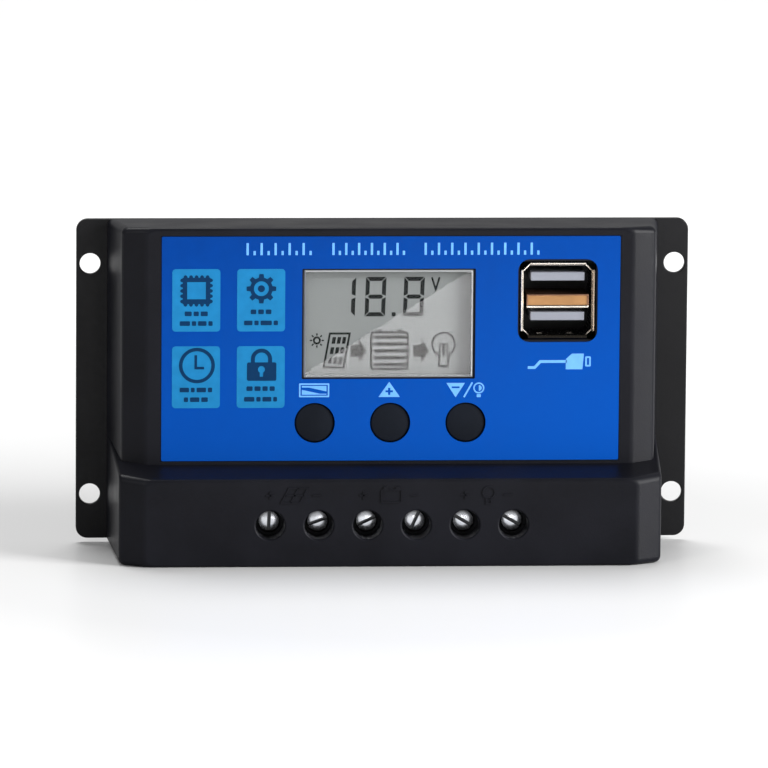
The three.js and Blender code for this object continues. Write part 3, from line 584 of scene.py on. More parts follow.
def display_grey(base):
    """The display's silver-grey reflector: a fine sparkle and a slow change of tone."""
    n = Nodes("lcd_reflector")
    sparkle = n.noise(2400.0, 2.0)
    slow = n.noise(35.0, 2.0)
    tint = n.mottled(slow, base, 0.97, 1.04)
    tint = n.blend(n.span(sparkle, 0.0, 0.12), tint, opaque(base, 1.3))
    return n.feed(Base_Color=tint, Roughness=n.span(sparkle, 0.5, 0.62),
                  Normal=n.bump(sparkle, 0.000004), Specular_IOR_Level=0.2)


def clear_window():
    """A polished clear window: what is behind shows through, and it mirrors by angle."""
    n = Nodes("window_clear")
    ripple = n.bump(n.noise(60.0), 0.000002, 0.3)
    through = n.add("BsdfTransparent", {"Color": (0.97, 0.98, 0.98, 1.0)})
    mirror = n.add("BsdfGlossy", {"Color": (1.0, 1.0, 1.0, 1.0), "Roughness": 0.015,
                                  "Normal": ripple})
    share = n.add("Fresnel", {"IOR": 1.25}).outputs[0]
    inside = n.add("NewGeometry").outputs["Backfacing"]
    share = n.add("Math", {0: share, 1: inside}, operation="SUBTRACT", use_clamp=True).outputs[0]
    mix = n.add("MixShader", {0: share, 1: through.outputs[0], 2: mirror.outputs[0]})
    n.tree.nodes.remove(n.shader)
    return n.surface(mix)


def laminate():
    """Green solder mask over glass fibre weave."""
    n = Nodes("board_laminate")
    weave = n.add("TexWave", {"Vector": n.where, "Scale": 900.0, "Distortion": 0.6})
    cloud = n.noise(160.0, 3.0)
    tint = n.blend(n.span(cloud, 0.0, 1.0), (0.004, 0.055, 0.022, 1), (0.008, 0.10, 0.04, 1))
    return n.feed(Base_Color=tint, Roughness=n.span(cloud, 0.3, 0.45),
                  Normal=n.bump(weave.outputs["Fac"], 0.00001))


class Finishes:
    """The finishes, made once and then shared by name."""

    made = {}

    @classmethod
    def build(cls, c):
        """Make every finish from the colour settings."""
        cls.made = {
            "housing_plastic": moulded("housing_plastic", c.housing),
            "plate_paint": painted("plate_paint", c.plate),
            "label_print": overlay_blue(c.label_left, c.label_right),
            "tile_ink": printed("tile_ink", c.tile),
            "icon_ink": printed("icon_ink", c.icon),
            "mark_ink": printed("mark_ink", c.mark),
            "window_clear": clear_window(),
            "lcd_glass": display_grey(c.display),
            "segment_ink": printed("segment_ink", c.segment, 0.4, 0.2),
            "faint_segment_ink": printed("faint_segment_ink", c.faint, 0.4, 0.1),
            "white_plastic": moulded("white_plastic", c.tongue, 0.4, 1800.0, 0.00001, 0.4, 0.05),
            "button_plastic": moulded("button_plastic", c.button, 0.5, 3000.0, 0.00003, 0.07),
            "grey_plastic": moulded("grey_plastic", (0.022, 0.023, 0.024), 0.5),
            "board_laminate": laminate(),
            "shell_nickel": plated("shell_nickel", c.nickel, 0.2, (1.0, 0.05, 1.0)),
            "contact_copper": plated("contact_copper", c.copper, 0.3, (0.06, 1.0, 1.0)),
            # painted reflection: the divider's copper face and tan frame stand for a warm reflection in
            # the nickel partition
            "divider_copper": plated("divider_copper", c.copper, 0.38, (0.06, 1.0, 1.0)),
            "tanned_copper": plated("tanned_copper", (0.22, 0.12, 0.075), 0.35),
            # painted highlight: light grey standing for the bright bevel of the clear window
            "rim_plastic": moulded("rim_plastic", c.rim, 0.35, 1500.0, 0.000004, 0.4, 0.04),
            "clamp_screw_steel": recessed_steel(c.screw),
            "socket_nickel": socket_nickel(c.nickel),
            "screw_steel": plated("screw_steel", c.screw, 0.2, (1.0, 1.0, 1.0), 0.2),
            "terminal_plastic": moulded("terminal_plastic", (0.012, 0.013, 0.015), 0.5),
            "chip_epoxy": moulded("chip_epoxy", (0.01, 0.01, 0.011), 0.55, 2200.0, 0.00003),
            "pad_silicone": moulded("pad_silicone", (0.32, 0.33, 0.36), 0.8, 1500.0, 0.00004),
            "can_sleeve": moulded("can_sleeve", (0.014, 0.018, 0.026), 0.35, 1200.0, 0.00001),
            "ferrite": moulded("ferrite", (0.04, 0.037, 0.034), 0.65, 1900.0, 0.00005),
        }

    @classmethod
    def get(cls, name):
        """A finish by name, or a plain message if it isn't made yet."""
        if not cls.made:
            cls.build(bpy.context.scene.controller_colours)
        return cls.made[name]


# ---------------------------------------------------------------- housing
def section(front_half, front_depth, edge_half, edge_depth, inset=0.0):
    """Plan section of a housing bar: half widths and depths, moved in by an inset."""
    back = -1.0 if inset else 0.0
    half = [(BODY_BASE_HALF - inset, back), (edge_half - inset, edge_depth - inset),
            (front_half - inset, front_depth - inset)]
    return [(-x, d) for x, d in half] + [(x, d) for x, d in half[::-1]]


def hood_top(depth, inset=0.0):
    """Height of the hood's sloping top at a depth."""
    slope = (HOOD_TOP_BACK - HOOD_TOP_FRONT) / (HOOD_DEPTH - FACE_DEPTH)
    return HOOD_TOP_BACK - inset - (depth - FACE_DEPTH) * slope


def bar(name, plan, foot, top_at, radius, corner):
    """A bar on a plan section with a flat foot and a top that may slope, its edges rounded."""
    bm = bmesh.new()
    lower = [bm.verts.new((x, y_at(d), foot)) for x, d in plan]
    upper = [bm.verts.new((x, y_at(d), top_at(d))) for x, d in plan]
    bm.faces.new(lower)
    bm.faces.new(upper)
    walls(bm, lower, upper)
    if radius:
        bmesh.ops.recalc_face_normals(bm, faces=bm.faces)
        rim, level, crease = 0.1, 3.0, math.radians(24)
        back = max(v.co.y for v in bm.verts) - rim
        front = min(v.co.y for v in bm.verts) + rim

        def off_plate():
            """The edges that don't lie at the bar's back."""
            return [e for e in bm.edges if not all(v.co.y > back for v in e.verts)]

        sides = [e for e in off_plate() if abs(e.verts[0].co.z - e.verts[1].co.z) < level
                 and not all(v.co.y < front for v in e.verts)]
        bmesh.ops.bevel(bm, geom=sides, offset=corner, segments=5, profile=0.5, affect="EDGES",
                        clamp_overlap=False)
        sharp = [e for e in off_plate() if len(e.link_faces) == 2
                 and e.calc_face_angle(0.0) > crease]
        bmesh.ops.bevel(bm, geom=sharp, offset=radius, segments=3, profile=0.5, affect="EDGES",
                        clamp_overlap=True)
    return held(name, bm)


def face_top(depth, inset=0.0):
    """Height of the upper housing's top at a depth: it falls a little to the plate."""
    return BODY_TOP - inset - FACE_TOP_FALL * (1 - max(depth, 0.0) / FACE_DEPTH)


def face_bar(inset, radius=0.0, corner=0.0):
    """The upper housing's bar."""
    plan = section(FACE_HALF, FACE_DEPTH, FACE_EDGE_HALF, FACE_EDGE_DEPTH, inset)
    return bar("face_bar", plan, inset or FACE_BAR_FOOT, lambda d: face_top(d, inset), radius,
               corner)


def hood_bar(inset, radius=0.0, corner=0.0):
    """The terminal hood's bar."""
    plan = section(HOOD_HALF, HOOD_DEPTH, HOOD_EDGE_HALF, HOOD_EDGE_DEPTH, inset)
    return bar("hood_bar", plan, inset, lambda d: hood_top(d, inset), radius, corner)


def rod_tool(radius, x, z, back, front, lip=0.0):
    """A round cutter, flared at its front by a rounded lip."""
    bm = bmesh.new()
    profile = [(0.0, back), (radius, back)]
    if lip:
        mouth = arc(radius + lip, front - lip, lip, math.pi, -math.pi / 2)
        profile += mouth + [(radius + lip, front + 1.0), (0.0, front + 1.0)]
    else:
        profile += [(radius, front), (0.0, front)]
    turned(bm, profile, x, z)
    return held("rod", bm)


def slab_tool(*sizes):
    """A block cutter."""
    bm = bmesh.new()
    slab(bm, *sizes)
    return held("slab", bm)


def build_housing(s):
    """The moulded housing with its hood, rounded edges, recesses, holes, collars and bosses."""
    wall, radius, corner = s.wall / MM, s.edge_radius / MM, s.corner_radius / MM
    face_inside, hood_inside = FACE_DEPTH - wall, HOOD_DEPTH - wall
    shell = carved(face_bar(0.0, radius, corner), [hood_bar(0.0, radius, corner)], "UNION")
    shell = carved(shell, [face_bar(wall), hood_bar(wall)], "DIFFERENCE")
    hole = s.hole_radius / MM
    bosses = []
    for z in BOSS_ZS:
        end = (hood_inside if z < HOOD_TOP_FRONT else face_inside) + wall / 4
        bosses += [rod_tool(BOSS_R, side * BOSS_X, z, BOARD_DEPTH, end) for side in (-1, 1)]
    collars = [rod_tool(hole + 1.0, p.x, p.z, BLOCK_FRONT + 0.3, hood_inside + wall / 4)
               for p in CLAMP_PLACES]
    shell = carved(shell, bosses + collars, "UNION")
    label_low, label_high = low("face_label"), high("face_label")
    lcd_low, lcd_high = low("lcd_window"), high("lcd_window")
    usb_low, usb_high = low("usb_shell"), high("usb_shell")
    gap = 0.15
    inside = face_inside - 1.0
    cutters = [
        slab_tool(label_low.x - gap, label_high.x + gap, FACE_DEPTH - LABEL_T, FACE_DEPTH + 1.0,
                  label_low.z - gap, label_high.z + gap),
        slab_tool(lcd_low.x - gap, lcd_high.x + gap, inside, FACE_DEPTH, lcd_low.z - 0.4,
                  lcd_high.z + 0.4),
        slab_tool(usb_low.x - 0.3, usb_high.x + 0.3, inside, FACE_DEPTH, usb_low.z - 0.3,
                  usb_high.z + 0.3),
    ]
    cutters += [rod_tool(s.button_radius / MM + gap, p.x, p.z, inside, FACE_DEPTH)
                for p in BUTTON_PLACES]
    for p in CLAMP_PLACES:
        cutters.append(rod_tool(hole, p.x, p.z, BLOCK_FRONT - 1.0, HOOD_DEPTH,
                                s.lip_radius / MM))
        cutters.append(slab_tool(p.x - WIRE_ENTRY_HALF, p.x + WIRE_ENTRY_HALF, WIRE_ENTRY_BACK,
                                 WIRE_ENTRY_FRONT, -1.0, wall + 1.0))
    for z in BOSS_ZS:
        cutters += [rod_tool(SCREW_BORE_R, side * BOSS_X, z, BOARD_DEPTH - 1.0, SCREW_BORE_END)
                    for side in (-1, 1)]
    shell = carved(shell, cutters, "DIFFERENCE")
    shell.name = "housing"
    settle(shell, "housing_plastic", ["front_housing"])


def hood_marks():
    """Drawn marks of the hood: a panel, a battery and a bulb, each between its plus and minus."""
    z = 15.6
    stroke, arm = 0.32, 0.9
    plus, minus = (-26.0, -6.0, 15.8), (-16.0, 5.0, 25.0)
    shapes = [line([(x - arm, z), (x + arm, z)], stroke) for x in plus + minus]
    shapes += [line([(x, z - arm), (x, z + arm)], stroke) for x in plus]
    panel = [(-23.6, z - 1.6), (-19.6, z - 1.6), (-18.0, z + 1.6), (-22.0, z + 1.6)]
    shapes.append(line(panel, stroke, closed=True))
    shapes.append(line([(-22.8, z), (-18.8, z)], stroke))
    shapes.append(line([(-21.6, z - 1.6), (-20.0, z + 1.6)], stroke))
    shapes.append(frame_shape(-2.3, 2.3, z - 1.7, z + 1.3, 0.4, stroke))
    shapes += [solid_shape(box(x - 0.5, x + 0.5, z + 1.3, z + 1.9)) for x in (-1.3, 1.3)]
    shapes.append(ring(20.9, z + 0.5, 1.45, 1.45 - stroke, 28))
    shapes.append(frame_shape(20.2, 21.6, z - 2.1, z - 0.8, 0.2, stroke))
    return shapes


def build_hood_marks(s):
    """The faint raised marks over the screwdriver holes."""
    drawn("hood_marks", hood_marks(), HOOD_DEPTH - MARK_ROOT, HOOD_DEPTH + s.mark_relief / MM,
          "housing_plastic", "housing_plastic", "front_housing")


def build_plate(s):
    """The painted back plate with rounded corners, broken edges and countersunk holes."""
    lower, upper = low("back_plate"), high("back_plate")
    thick = upper.y - lower.y
    soft = 0.25
    bm = bmesh.new()
    flat(bm, solid_shape(rounded(lower.x, upper.x, lower.z, upper.z, s.plate_corner / MM, 10)),
         -thick, 0.0)
    bmesh.ops.recalc_face_normals(bm, faces=bm.faces)
    bmesh.ops.dissolve_limit(bm, angle_limit=0.01, verts=bm.verts, edges=bm.edges)
    rims = [e for e in bm.edges if abs(e.verts[0].co.y - e.verts[1].co.y) < 1e-5]
    bmesh.ops.bevel(bm, geom=rims, offset=soft, segments=3, profile=0.5, affect="EDGES",
                    clamp_overlap=True)
    plate = held("plate", bm)
    reach = 1.0
    behind = -thick - reach
    rim = s.fixing_hole / MM + soft
    hole = [(rim, behind), *arc(rim, soft - thick, soft, -math.pi / 2, -math.pi / 2),
            *arc(rim, -soft, soft, math.pi, -math.pi / 2), (rim, reach)]
    sink = [(SINK_R, behind), (SINK_R, -thick), (SCREW_BORE_R, 0.0), (SCREW_BORE_R, reach)]
    hole_xs = (lower.x + HOLE_FROM_SIDE, upper.x - HOLE_FROM_SIDE)
    hole_zs = (lower.z + HOLE_FROM_END, upper.z - HOLE_FROM_END)
    cutters = []
    for profile, xs, zs in ((hole, hole_xs, hole_zs), (sink, (-BOSS_X, BOSS_X), BOSS_ZS)):
        for x, z in product(xs, zs):
            bm = bmesh.new()
            turned(bm, [(0.0, behind), *profile, (0.0, reach)], x, z)
            cutters.append(held("hole", bm))
    plate = carved(plate, cutters, "DIFFERENCE")
    plate.name = "plate"
    settle(plate, "plate_paint", ["back_plate"])


# ---------------------------------------------------------------- label
TILES = ((-46.7, -36.4, 49.6, 63.1), (-32.8, -22.5, 49.6, 63.1),
         (-46.7, -36.4, 33.0, 46.4), (-32.8, -22.5, 33.0, 46.4))


def label_shape(s):
    """The label's outline with its openings."""
    lower, upper = low("face_label"), high("face_label")
    lcd_low, lcd_high = low("lcd_window"), high("lcd_window")
    half_w, half_h, gap = 8.6, 9.0, 0.5
    holes = [rounded(lcd_low.x - gap, lcd_high.x + gap, lcd_low.z - gap - 0.15,
                     lcd_high.z + gap + 0.15, 0.25),
             rounded(USB.x - half_w, USB.x + half_w, USB.z - half_h, USB.z + half_h, 2.5)]
    holes += [disc(p.x, p.z, s.button_radius / MM + 0.15) for p in BUTTON_PLACES]
    return rounded(lower.x, upper.x, lower.z, upper.z, 0.3), holes


def scalloped(x, z, half_w, half_h, bumps, radius):
    """A square chip outline with round bumps along its edges."""
    corners = [(-half_w, -half_h), (half_w, -half_h), (half_w, half_h), (-half_w, half_h)]
    points = []
    for a, b in zip(corners, corners[1:] + corners[:1]):
        a, b = Vector(a), Vector(b)
        way = (b - a).normalized()
        out = Vector((way.y, -way.x))
        points.append((x + a.x, z + a.y))
        for i in range(bumps):
            centre = a + (b - a) * (i + 0.5) / bumps
            for step in range(9):
                turn = math.pi * step / 8
                point = centre - way * radius * math.cos(turn) + out * radius * 1.3 * math.sin(turn)
                points.append((x + point.x, z + point.y))
    return points


def toothed(x, z, body, outer, teeth):
    """A gear's outline."""
    points = []
    pitch = 2 * math.pi / teeth
    for i in range(teeth):
        for share, radius in ((-0.30, body), (-0.18, outer), (0.18, outer), (0.30, body)):
            a = (i + share) * pitch + math.pi / 2
            points.append((x + radius * math.cos(a), z + radius * math.sin(a)))
    return points


def tile_icons():
    """Navy icons of the four tiles: a chip, a gear, a clock and a padlock."""
    shapes = [
        (scalloped(-41.5, 58.4, 2.95, 2.85, 5, 0.42), [box(-43.5, -39.5, 56.6, 60.3)]),
        (toothed(-27.6, 58.85, 2.45, 3.2, 8), [disc(-27.6, 58.85, 1.6)]),
        solid_shape(disc(-27.6, 58.85, 0.75, 24)),
        ring(-41.35, 42.25, 3.85, 3.1),
        line([(-41.6, 44.5), (-41.6, 41.7), (-39.8, 41.7)], 0.55),
        (rounded(-30.6, -24.3, 38.9, 42.9, 0.35),
         [disc(-27.5, 41.35, 0.75, 20, -math.pi / 3, math.pi * 5 / 3)
          + [(-27.85, 39.8), (-27.15, 39.8)]]),
    ]
    arch = disc(-27.5, 43.6, 1.85, 24, 0.0, math.pi)
    shapes.append(line([(-25.65, 42.9)] + arch + [(-29.35, 42.9)], 0.85))
    return shapes


def dash_rows():
    """Plain dashes that stand where words would be: place, height and widths of each."""
    rows = ((0, 53.45, (1.5, 1.1, 1.5)), (0, 51.35, (2.2, 0.9, 1.8, 0.9)),
            (1, 53.85, (1.2, 1.2, 1.2)), (1, 51.45, (1.8, 0.9, 2.4, 0.9)),
            (2, 36.95, (2.0, 0.8, 2.0, 0.9)), (2, 34.85, (0.9, 2.0, 1.4)),
            (3, 37.2, (1.3, 1.3, 1.1, 1.1)), (3, 34.9, (2.2, 0.9, 1.9, 0.8)))
    gap = 0.42
    half = 0.5
    shapes = []
    for tile, z, widths in rows:
        x0, x1 = TILES[tile][:2]
        x = (x0 + x1 - sum(widths) - gap * (len(widths) - 1)) / 2
        for width in widths:
            shapes.append(solid_shape(rounded(x, x + width, z - half, z + half, 0.2, 3)))
            x += width + gap
    return shapes


def button_marks():
    """Pale marks over the buttons: a charge curve, an up and a down arrow, and a bulb."""
    z = 36.8
    low_side = [(-18.8, z - 0.95), (-18.8, z + 0.1), (-14.9, z - 0.75), (-13.5, z - 0.75),
                (-13.5, z - 0.95)]
    high_side = [(-18.8, z + 0.95), (-18.8, z + 0.6), (-17.3, z + 0.6), (-13.5, z - 0.25),
                 (-13.5, z + 0.95)]
    plus = [(-0.25, z - 1.05), (0.25, z - 1.05), (0.25, z - 0.5), (0.8, z - 0.5), (0.8, z - 0.05),
            (0.25, z - 0.05), (0.25, z + 0.5), (-0.25, z + 0.5), (-0.25, z - 0.05),
            (-0.8, z - 0.05), (-0.8, z - 0.5), (-0.25, z - 0.5)]
    return [frame_shape(-19.4, -12.9, z - 1.5, z + 1.5, 0.15, 0.32), solid_shape(low_side),
            solid_shape(high_side), ([(-2.3, z - 1.5), (2.3, z - 1.5), (0.0, z + 1.8)], [plus]),
            ([(12.3, z + 1.5), (16.3, z + 1.5), (14.3, z - 1.6)],
             [box(13.45, 15.15, z + 0.35, z + 0.75)]),
            line([(16.1, z - 1.6), (17.9, z + 1.6)], 0.36), ring(19.3, z + 0.4, 1.2, 0.9, 28),
            solid_shape(disc(19.3, z + 0.4, 0.62, 20, -math.pi / 2, math.pi)),
            solid_shape(rounded(18.85, 19.75, z - 1.6, z - 0.95, 0.15))]


def plug_mark():
    """A plain plug on its cable under the sockets."""
    z = 42.9
    body = [(38.0, z - 1.7), (41.6, z - 1.7), (41.9, z + 1.7), (39.3, z + 1.7), (38.0, z + 0.5)]
    cable = [(29.8, z - 1.3), (31.3, z - 1.3), (32.5, z), (38.2, z)]
    return [solid_shape(body), line(cable, 0.6), frame_shape(42.2, 43.4, z - 1.1, z + 1.1, 0.2, 0.35)]


def build_label(s):
    """The printed face label: its sheet, tiles, icons and marks."""
    film = s.print_relief / MM
    drawn("label_sheet", [label_shape(s)], FACE_DEPTH - LABEL_T, FACE_DEPTH, "label_print",
          "label_print", "face_label")
    layers = (
        ("label_tiles", "tile_ink", [solid_shape(rounded(*tile, 0.75)) for tile in TILES], 0),
        ("tile_icons", "icon_ink", tile_icons() + dash_rows(), 1),
        ("label_marks", "mark_ink", button_marks() + plug_mark(), 0),
    )
    for name, ink, shapes, above in layers:
        back = FACE_DEPTH + above * film
        drawn(name, shapes, back, back + film, ink, "label_print", "face_label")


# ---------------------------------------------------------------- display
def digit(x, z, width, height, lit, stroke=0.86, lean=0.035):
    """A seven-segment digit: lit names its segments, from a at the top to g in the middle."""
    half, gap, notch = stroke / 2, 0.11, 0.05
    w, h = width / 2 - half, height / 2 - half
    end = w - gap
    bars = {"g": [(-end, 0.0), (half - end, half), (end - half, half), (end, 0.0),
                  (end - half, -half), (half - end, -half)]}
    for name, side in (("a", 1), ("d", -1)):
        outer, inner = side * (h + half), side * (h - half)
        bars[name] = [(-end - half, outer), (end + half, outer), (end - half, inner),
                      (half - end, inner)]
    for name, across, up in (("b", 1, 1), ("c", 1, -1), ("e", -1, -1), ("f", -1, 1)):
        outer, inner = across * (w + half), across * (w - half)
        upright = [(outer, up * (h + half - gap)), (inner, up * (h - half - gap)),
                   (inner, up * (half + gap)), (outer, up * (gap + notch))]
        bars[name] = upright[::up]
    return [solid_shape([(x + px + lean * pz, z + pz) for px, pz in bars[name]]) for name in lit]


def display_icons():
    """Dark display icons under the digits: sun, panel, arrows, battery and bulb."""
    outlines, filled = [ring(-15.3, -3.65, 0.86, 0.44, 24)], []
    for i in range(8):
        a = i * math.pi / 4
        ray = [(-15.3 + r * math.cos(a), -3.65 + r * math.sin(a)) for r in (1.02, 1.52)]
        outlines.append(line(ray, 0.3))
    panel = [(-12.5, -2.2), (-8.25, -2.2), (-9.55, -9.4), (-13.8, -9.3)]
    outlines.append(line(panel, 0.42, closed=True))
    for row in range(3):
        for column in range(3):
            top = -2.95 - row * 2.15
            x = -11.9 + column * 1.1 - row * 0.38
            outlines.append(solid_shape([(x, top), (x + 0.75, top), (x + 0.5, top - 1.4),
                                         (x - 0.25, top - 1.4)]))
    for x in (-7.95, 5.5):
        filled.append(solid_shape([(x, -7.1), (x + 1.68, -7.1), (x + 1.68, -8.4), (x + 3.3, -5.85),
                                   (x + 1.68, -3.3), (x + 1.68, -4.65), (x, -4.65)]))
    filled.append(frame_shape(-3.85, 4.48, -9.95, -1.75, 0.9, 0.5))
    filled += [solid_shape(disc(x, -1.72, 0.5, 12, 0.0, math.pi)) for x in (-1.8, 2.55)]
    filled += [solid_shape(rounded(-2.95, 3.85, z - 0.35, z + 0.35, 0.2, 3))
               for z in (-2.97, -4.45, -5.9, -7.35, -8.8)]
    glass = disc(12.0, -4.55, 2.45, 40, -math.pi * 0.365, math.pi * 1.73)
    outlines.append(line(glass, 0.4))
    outlines.append(line([(11.05, -6.85), (11.05, -9.1), (13.0, -9.1), (13.0, -6.85)], 0.4))
    outlines.append(line([(11.35, -9.3), (12.7, -9.3)], 0.4))
    for x in (11.2, 12.15):
        outlines.append(line([(x, -6.85), (x, -4.5), (x + 0.65, -4.5), (x + 0.65, -6.85)], 0.28))
    return outlines, filled


def build_display(s):
    """The display: its glass cell, dark segments, clear window and the window's light rim."""
    lower, upper = low("lcd_glass"), high("lcd_glass")
    back, front = back_of("lcd_glass"), front_of("lcd_glass")
    half = (back + front) / 2
    lip = front - 0.1
    blocks("lcd_cell", "lcd_glass", "lcd_glass", "lcd_glass",
           (lower.x, upper.x, back, half, lower.z, upper.z, 0.12),
           (lower.x + 0.1, upper.x - 0.1, half, lip, lower.z + 1.6, upper.z - 0.1, 0.12),
           (lower.x + 1.2, upper.x - 1.2, lip, front, lower.z + 1.7, upper.z - 1.2))
    tall, wide = s.digit_height / MM, s.digit_width / MM
    shapes = digit(-9.25, 5.55, wide, tall, "bc")
    for x in (-2.75, 5.5):
        shapes += digit(x, 5.55, wide, tall, "abcdefg")
    shapes.append(solid_shape(box(0.75, 1.6, 1.4, 2.25)))
    shapes.append(line([(9.35, 9.6), (10.2, 7.0), (11.0, 9.6)], 0.4))
    outlines, filled = display_icons()
    for name, ink, marks in (("lcd_segments", "segment_ink", shapes + outlines),
                             ("lcd_faint_segments", "faint_segment_ink", filled)):
        drawn(name, [moved(mark, LCD.x, LCD.z - 0.1, 1.03) for mark in marks], front,
              front + s.print_relief / MM, ink, "lcd_glass", "lcd_glass")
    taller = Vector((0, 0, 0.3))
    lower, upper = low("lcd_window") - taller, high("lcd_window") + taller
    back, front = back_of("lcd_window"), front_of("lcd_window")
    rim = 0.34
    blocks("lcd_window_pane", "window_clear", "window_clear", "lcd_window",
           (lower.x + rim, upper.x - rim, back, front, lower.z + rim, upper.z - rim))
    # painted highlight: a light grey rim in place of the light caught on the clear window's bevel
    bm = bmesh.new()
    loops = []
    for inset, depth in ((0.0, back), (0.0, front - 0.25), (rim, front + 0.02), (rim, back)):
        outline = box(lower.x + inset, upper.x - inset, lower.z + inset, upper.z - inset)
        loops.append([bm.verts.new((x, y_at(depth), z)) for x, z in outline])
    for one, two in zip(loops, loops[1:] + loops[:1]):
        walls(bm, one, two)
    piece("lcd_window_rim", bm, "rim_plastic", "window_clear", "lcd_window", weighted=False)


# ---------------------------------------------------------------- buttons
def build_buttons(s):
    """The three push buttons, each with a domed cap, a skirt and a stem."""
    radius, crown = s.button_radius / MM, s.button_crown / MM
    edge, stem, flange_t = 0.35, 2.0, 1.3
    skirt = FACE_DEPTH - s.wall / MM - 0.3
    shares = [1 - i / 5 for i in range(1, 6)]
    for name, place in zip(BUTTONS, BUTTON_PLACES):
        node = f"button_{name}"
        back, front = back_of(node), front_of(node)
        flange = high(node).x - place.x
        profile = [(0.0, back), (stem, back), (stem, skirt - flange_t), (flange, skirt - flange_t),
                   (flange, skirt), (radius, skirt)]
        profile += arc(radius - edge, front - crown - edge, edge, 0.0, math.pi / 2)
        profile += [((radius - edge) * share, front - crown * share ** 2) for share in shares]
        bm = bmesh.new()
        turned(bm, profile, place.x, place.z)
        piece(f"push_{name}", bm, "button_plastic", "button_plastic", node, node, weighted=False)


# ---------------------------------------------------------------- sockets
def octagon(x, z, half_w, half_h, cut):
    """A rectangle with its corners cut off."""
    return [(x - half_w + cut, z - half_h), (x + half_w - cut, z - half_h),
            (x + half_w, z - half_h + cut), (x + half_w, z + half_h - cut),
            (x + half_w - cut, z + half_h), (x - half_w + cut, z + half_h),
            (x - half_w, z + half_h - cut), (x - half_w, z - half_h + cut)]


def socket_lip(profile, turn, extra, reach):
    """One flared lip: a profile of reaches and depths, drawn out between two ends."""
    bm = bmesh.new()
    ends = []
    for along in (-reach, reach):
        places = [(turn @ Vector((out + extra, along)), depth) for out, depth in profile]
        ends.append([bm.verts.new((USB.x + p.x, y_at(depth), USB.z + p.y)) for p, depth in places])
        bm.faces.new(ends[-1])
    walls(bm, *ends)
    return held("lip", bm)


def build_socket_shell():
    """The folded shell: a tube with cut corners, four flared lips and two slits in its foot."""
    lower, upper = low("usb_shell"), high("usb_shell")
    back, front = back_of("usb_shell"), front_of("usb_shell")
    half_w, half_h = (upper.x - lower.x) / 2, (upper.z - lower.z) / 2
    taller = half_h - half_w
    metal, flare, cut, mouth = 0.3, 0.35, 1.6, 0.95
    tube = half_w - flare
    root = front - mouth
    bm = bmesh.new()
    rings = []
    for half, depth, corner in ((tube, back, cut), (tube, root, cut),
                                (tube - metal, root, cut - 1.2 * metal),
                                (tube - metal, back, cut - 1.2 * metal)):
        outline = octagon(USB.x, USB.z, half, half + taller, corner)
        rings.append([bm.verts.new((x, y_at(depth), z)) for x, z in outline])
    for one, two in zip(rings, rings[1:] + rings[:1]):
        walls(bm, one, two)
    shell = held("socket_shell", bm)
    overlap = 0.4
    wide, narrow = (
        [(tube - metal, root - overlap), (tube - metal, root),
         (tube - metal * 0.75 - wider, front - mouth * 0.45),
         (half_w - metal * 0.7 - wider, front - edge), (half_w - metal * 0.35, front),
         (half_w, front - 0.1), (half_w, front - 0.35), (tube, root), (tube, root - overlap)]
        for wider, edge in ((0.35 * metal, 0.02), (0.0, 0.08)))
    sides = ((wide, 0.0, half_h - cut), (wide, taller, half_w - cut - 0.35),
             (narrow, 0.0, half_h - cut), (narrow, taller, half_w - cut))
    lips = [socket_lip(profile, Matrix.Rotation(i * math.pi / 2, 2), extra, reach)
            for i, (profile, extra, reach) in enumerate(sides)]
    shell = carved(shell, lips, "UNION")
    slits = [slab_tool(USB.x + x - 0.6, USB.x + x + 0.6, front - 4.5, front - 1.9,
                       lower.z - 0.5, lower.z + 1.5) for x in (-3.6, 2.9)]
    shell = carved(shell, slits, "DIFFERENCE")
    shell.name = "socket_shell"
    settle(shell, "socket_nickel", ["usb_shell"])


def build_sockets(_):
    """The double socket: its shell, two tongues with contacts, and the divider between them."""
    build_socket_shell()
    for name in ("upper", "lower"):
        node = f"usb_tongue_{name}"
        lo, hi = low(node), high(node)
        back, front = back_of(node), front_of(node)
        blocks(f"tongue_{name}", "white_plastic", "white_plastic", node,
               (lo.x, hi.x, back, front, lo.z, hi.z, 0.18, 3))
        xs = [USB.x + (i - 1.5) * 2.3 for i in range(4)]
        blocks(f"contacts_{name}", "contact_copper", "contact_copper", node,
               *((x - 0.5, x + 0.5, back, front - 0.8, lo.z - 0.08, lo.z + 0.1, 0.03) for x in xs))
    node = "usb_divider"
    lo, hi = low(node), high(node)
    back, front = back_of(node), front_of(node)
    # painted reflection: copper face and tan frame colour the nickel partition as its reflection looks
    blocks("divider_face", "divider_copper", "contact_copper", node,
           (lo.x + 0.25, hi.x - 0.25, back, front - 0.5, lo.z + 0.35, hi.z - 0.2, 0.1))
    blocks("divider_edge", "shell_nickel", "shell_nickel", node,
           (lo.x, hi.x, back, front, lo.z, lo.z + 0.62, 0.22, 3))
    blocks("divider_frame", "tanned_copper", "contact_copper", node,
           (lo.x, lo.x + 0.35, back, front - 0.15, lo.z + 0.4, hi.z - 0.1, 0.08),
           (hi.x - 0.35, hi.x, back, front - 0.15, lo.z + 0.4, hi.z - 0.1, 0.08),
           (lo.x, hi.x, back, front, hi.z - 0.3, hi.z, 0.08))


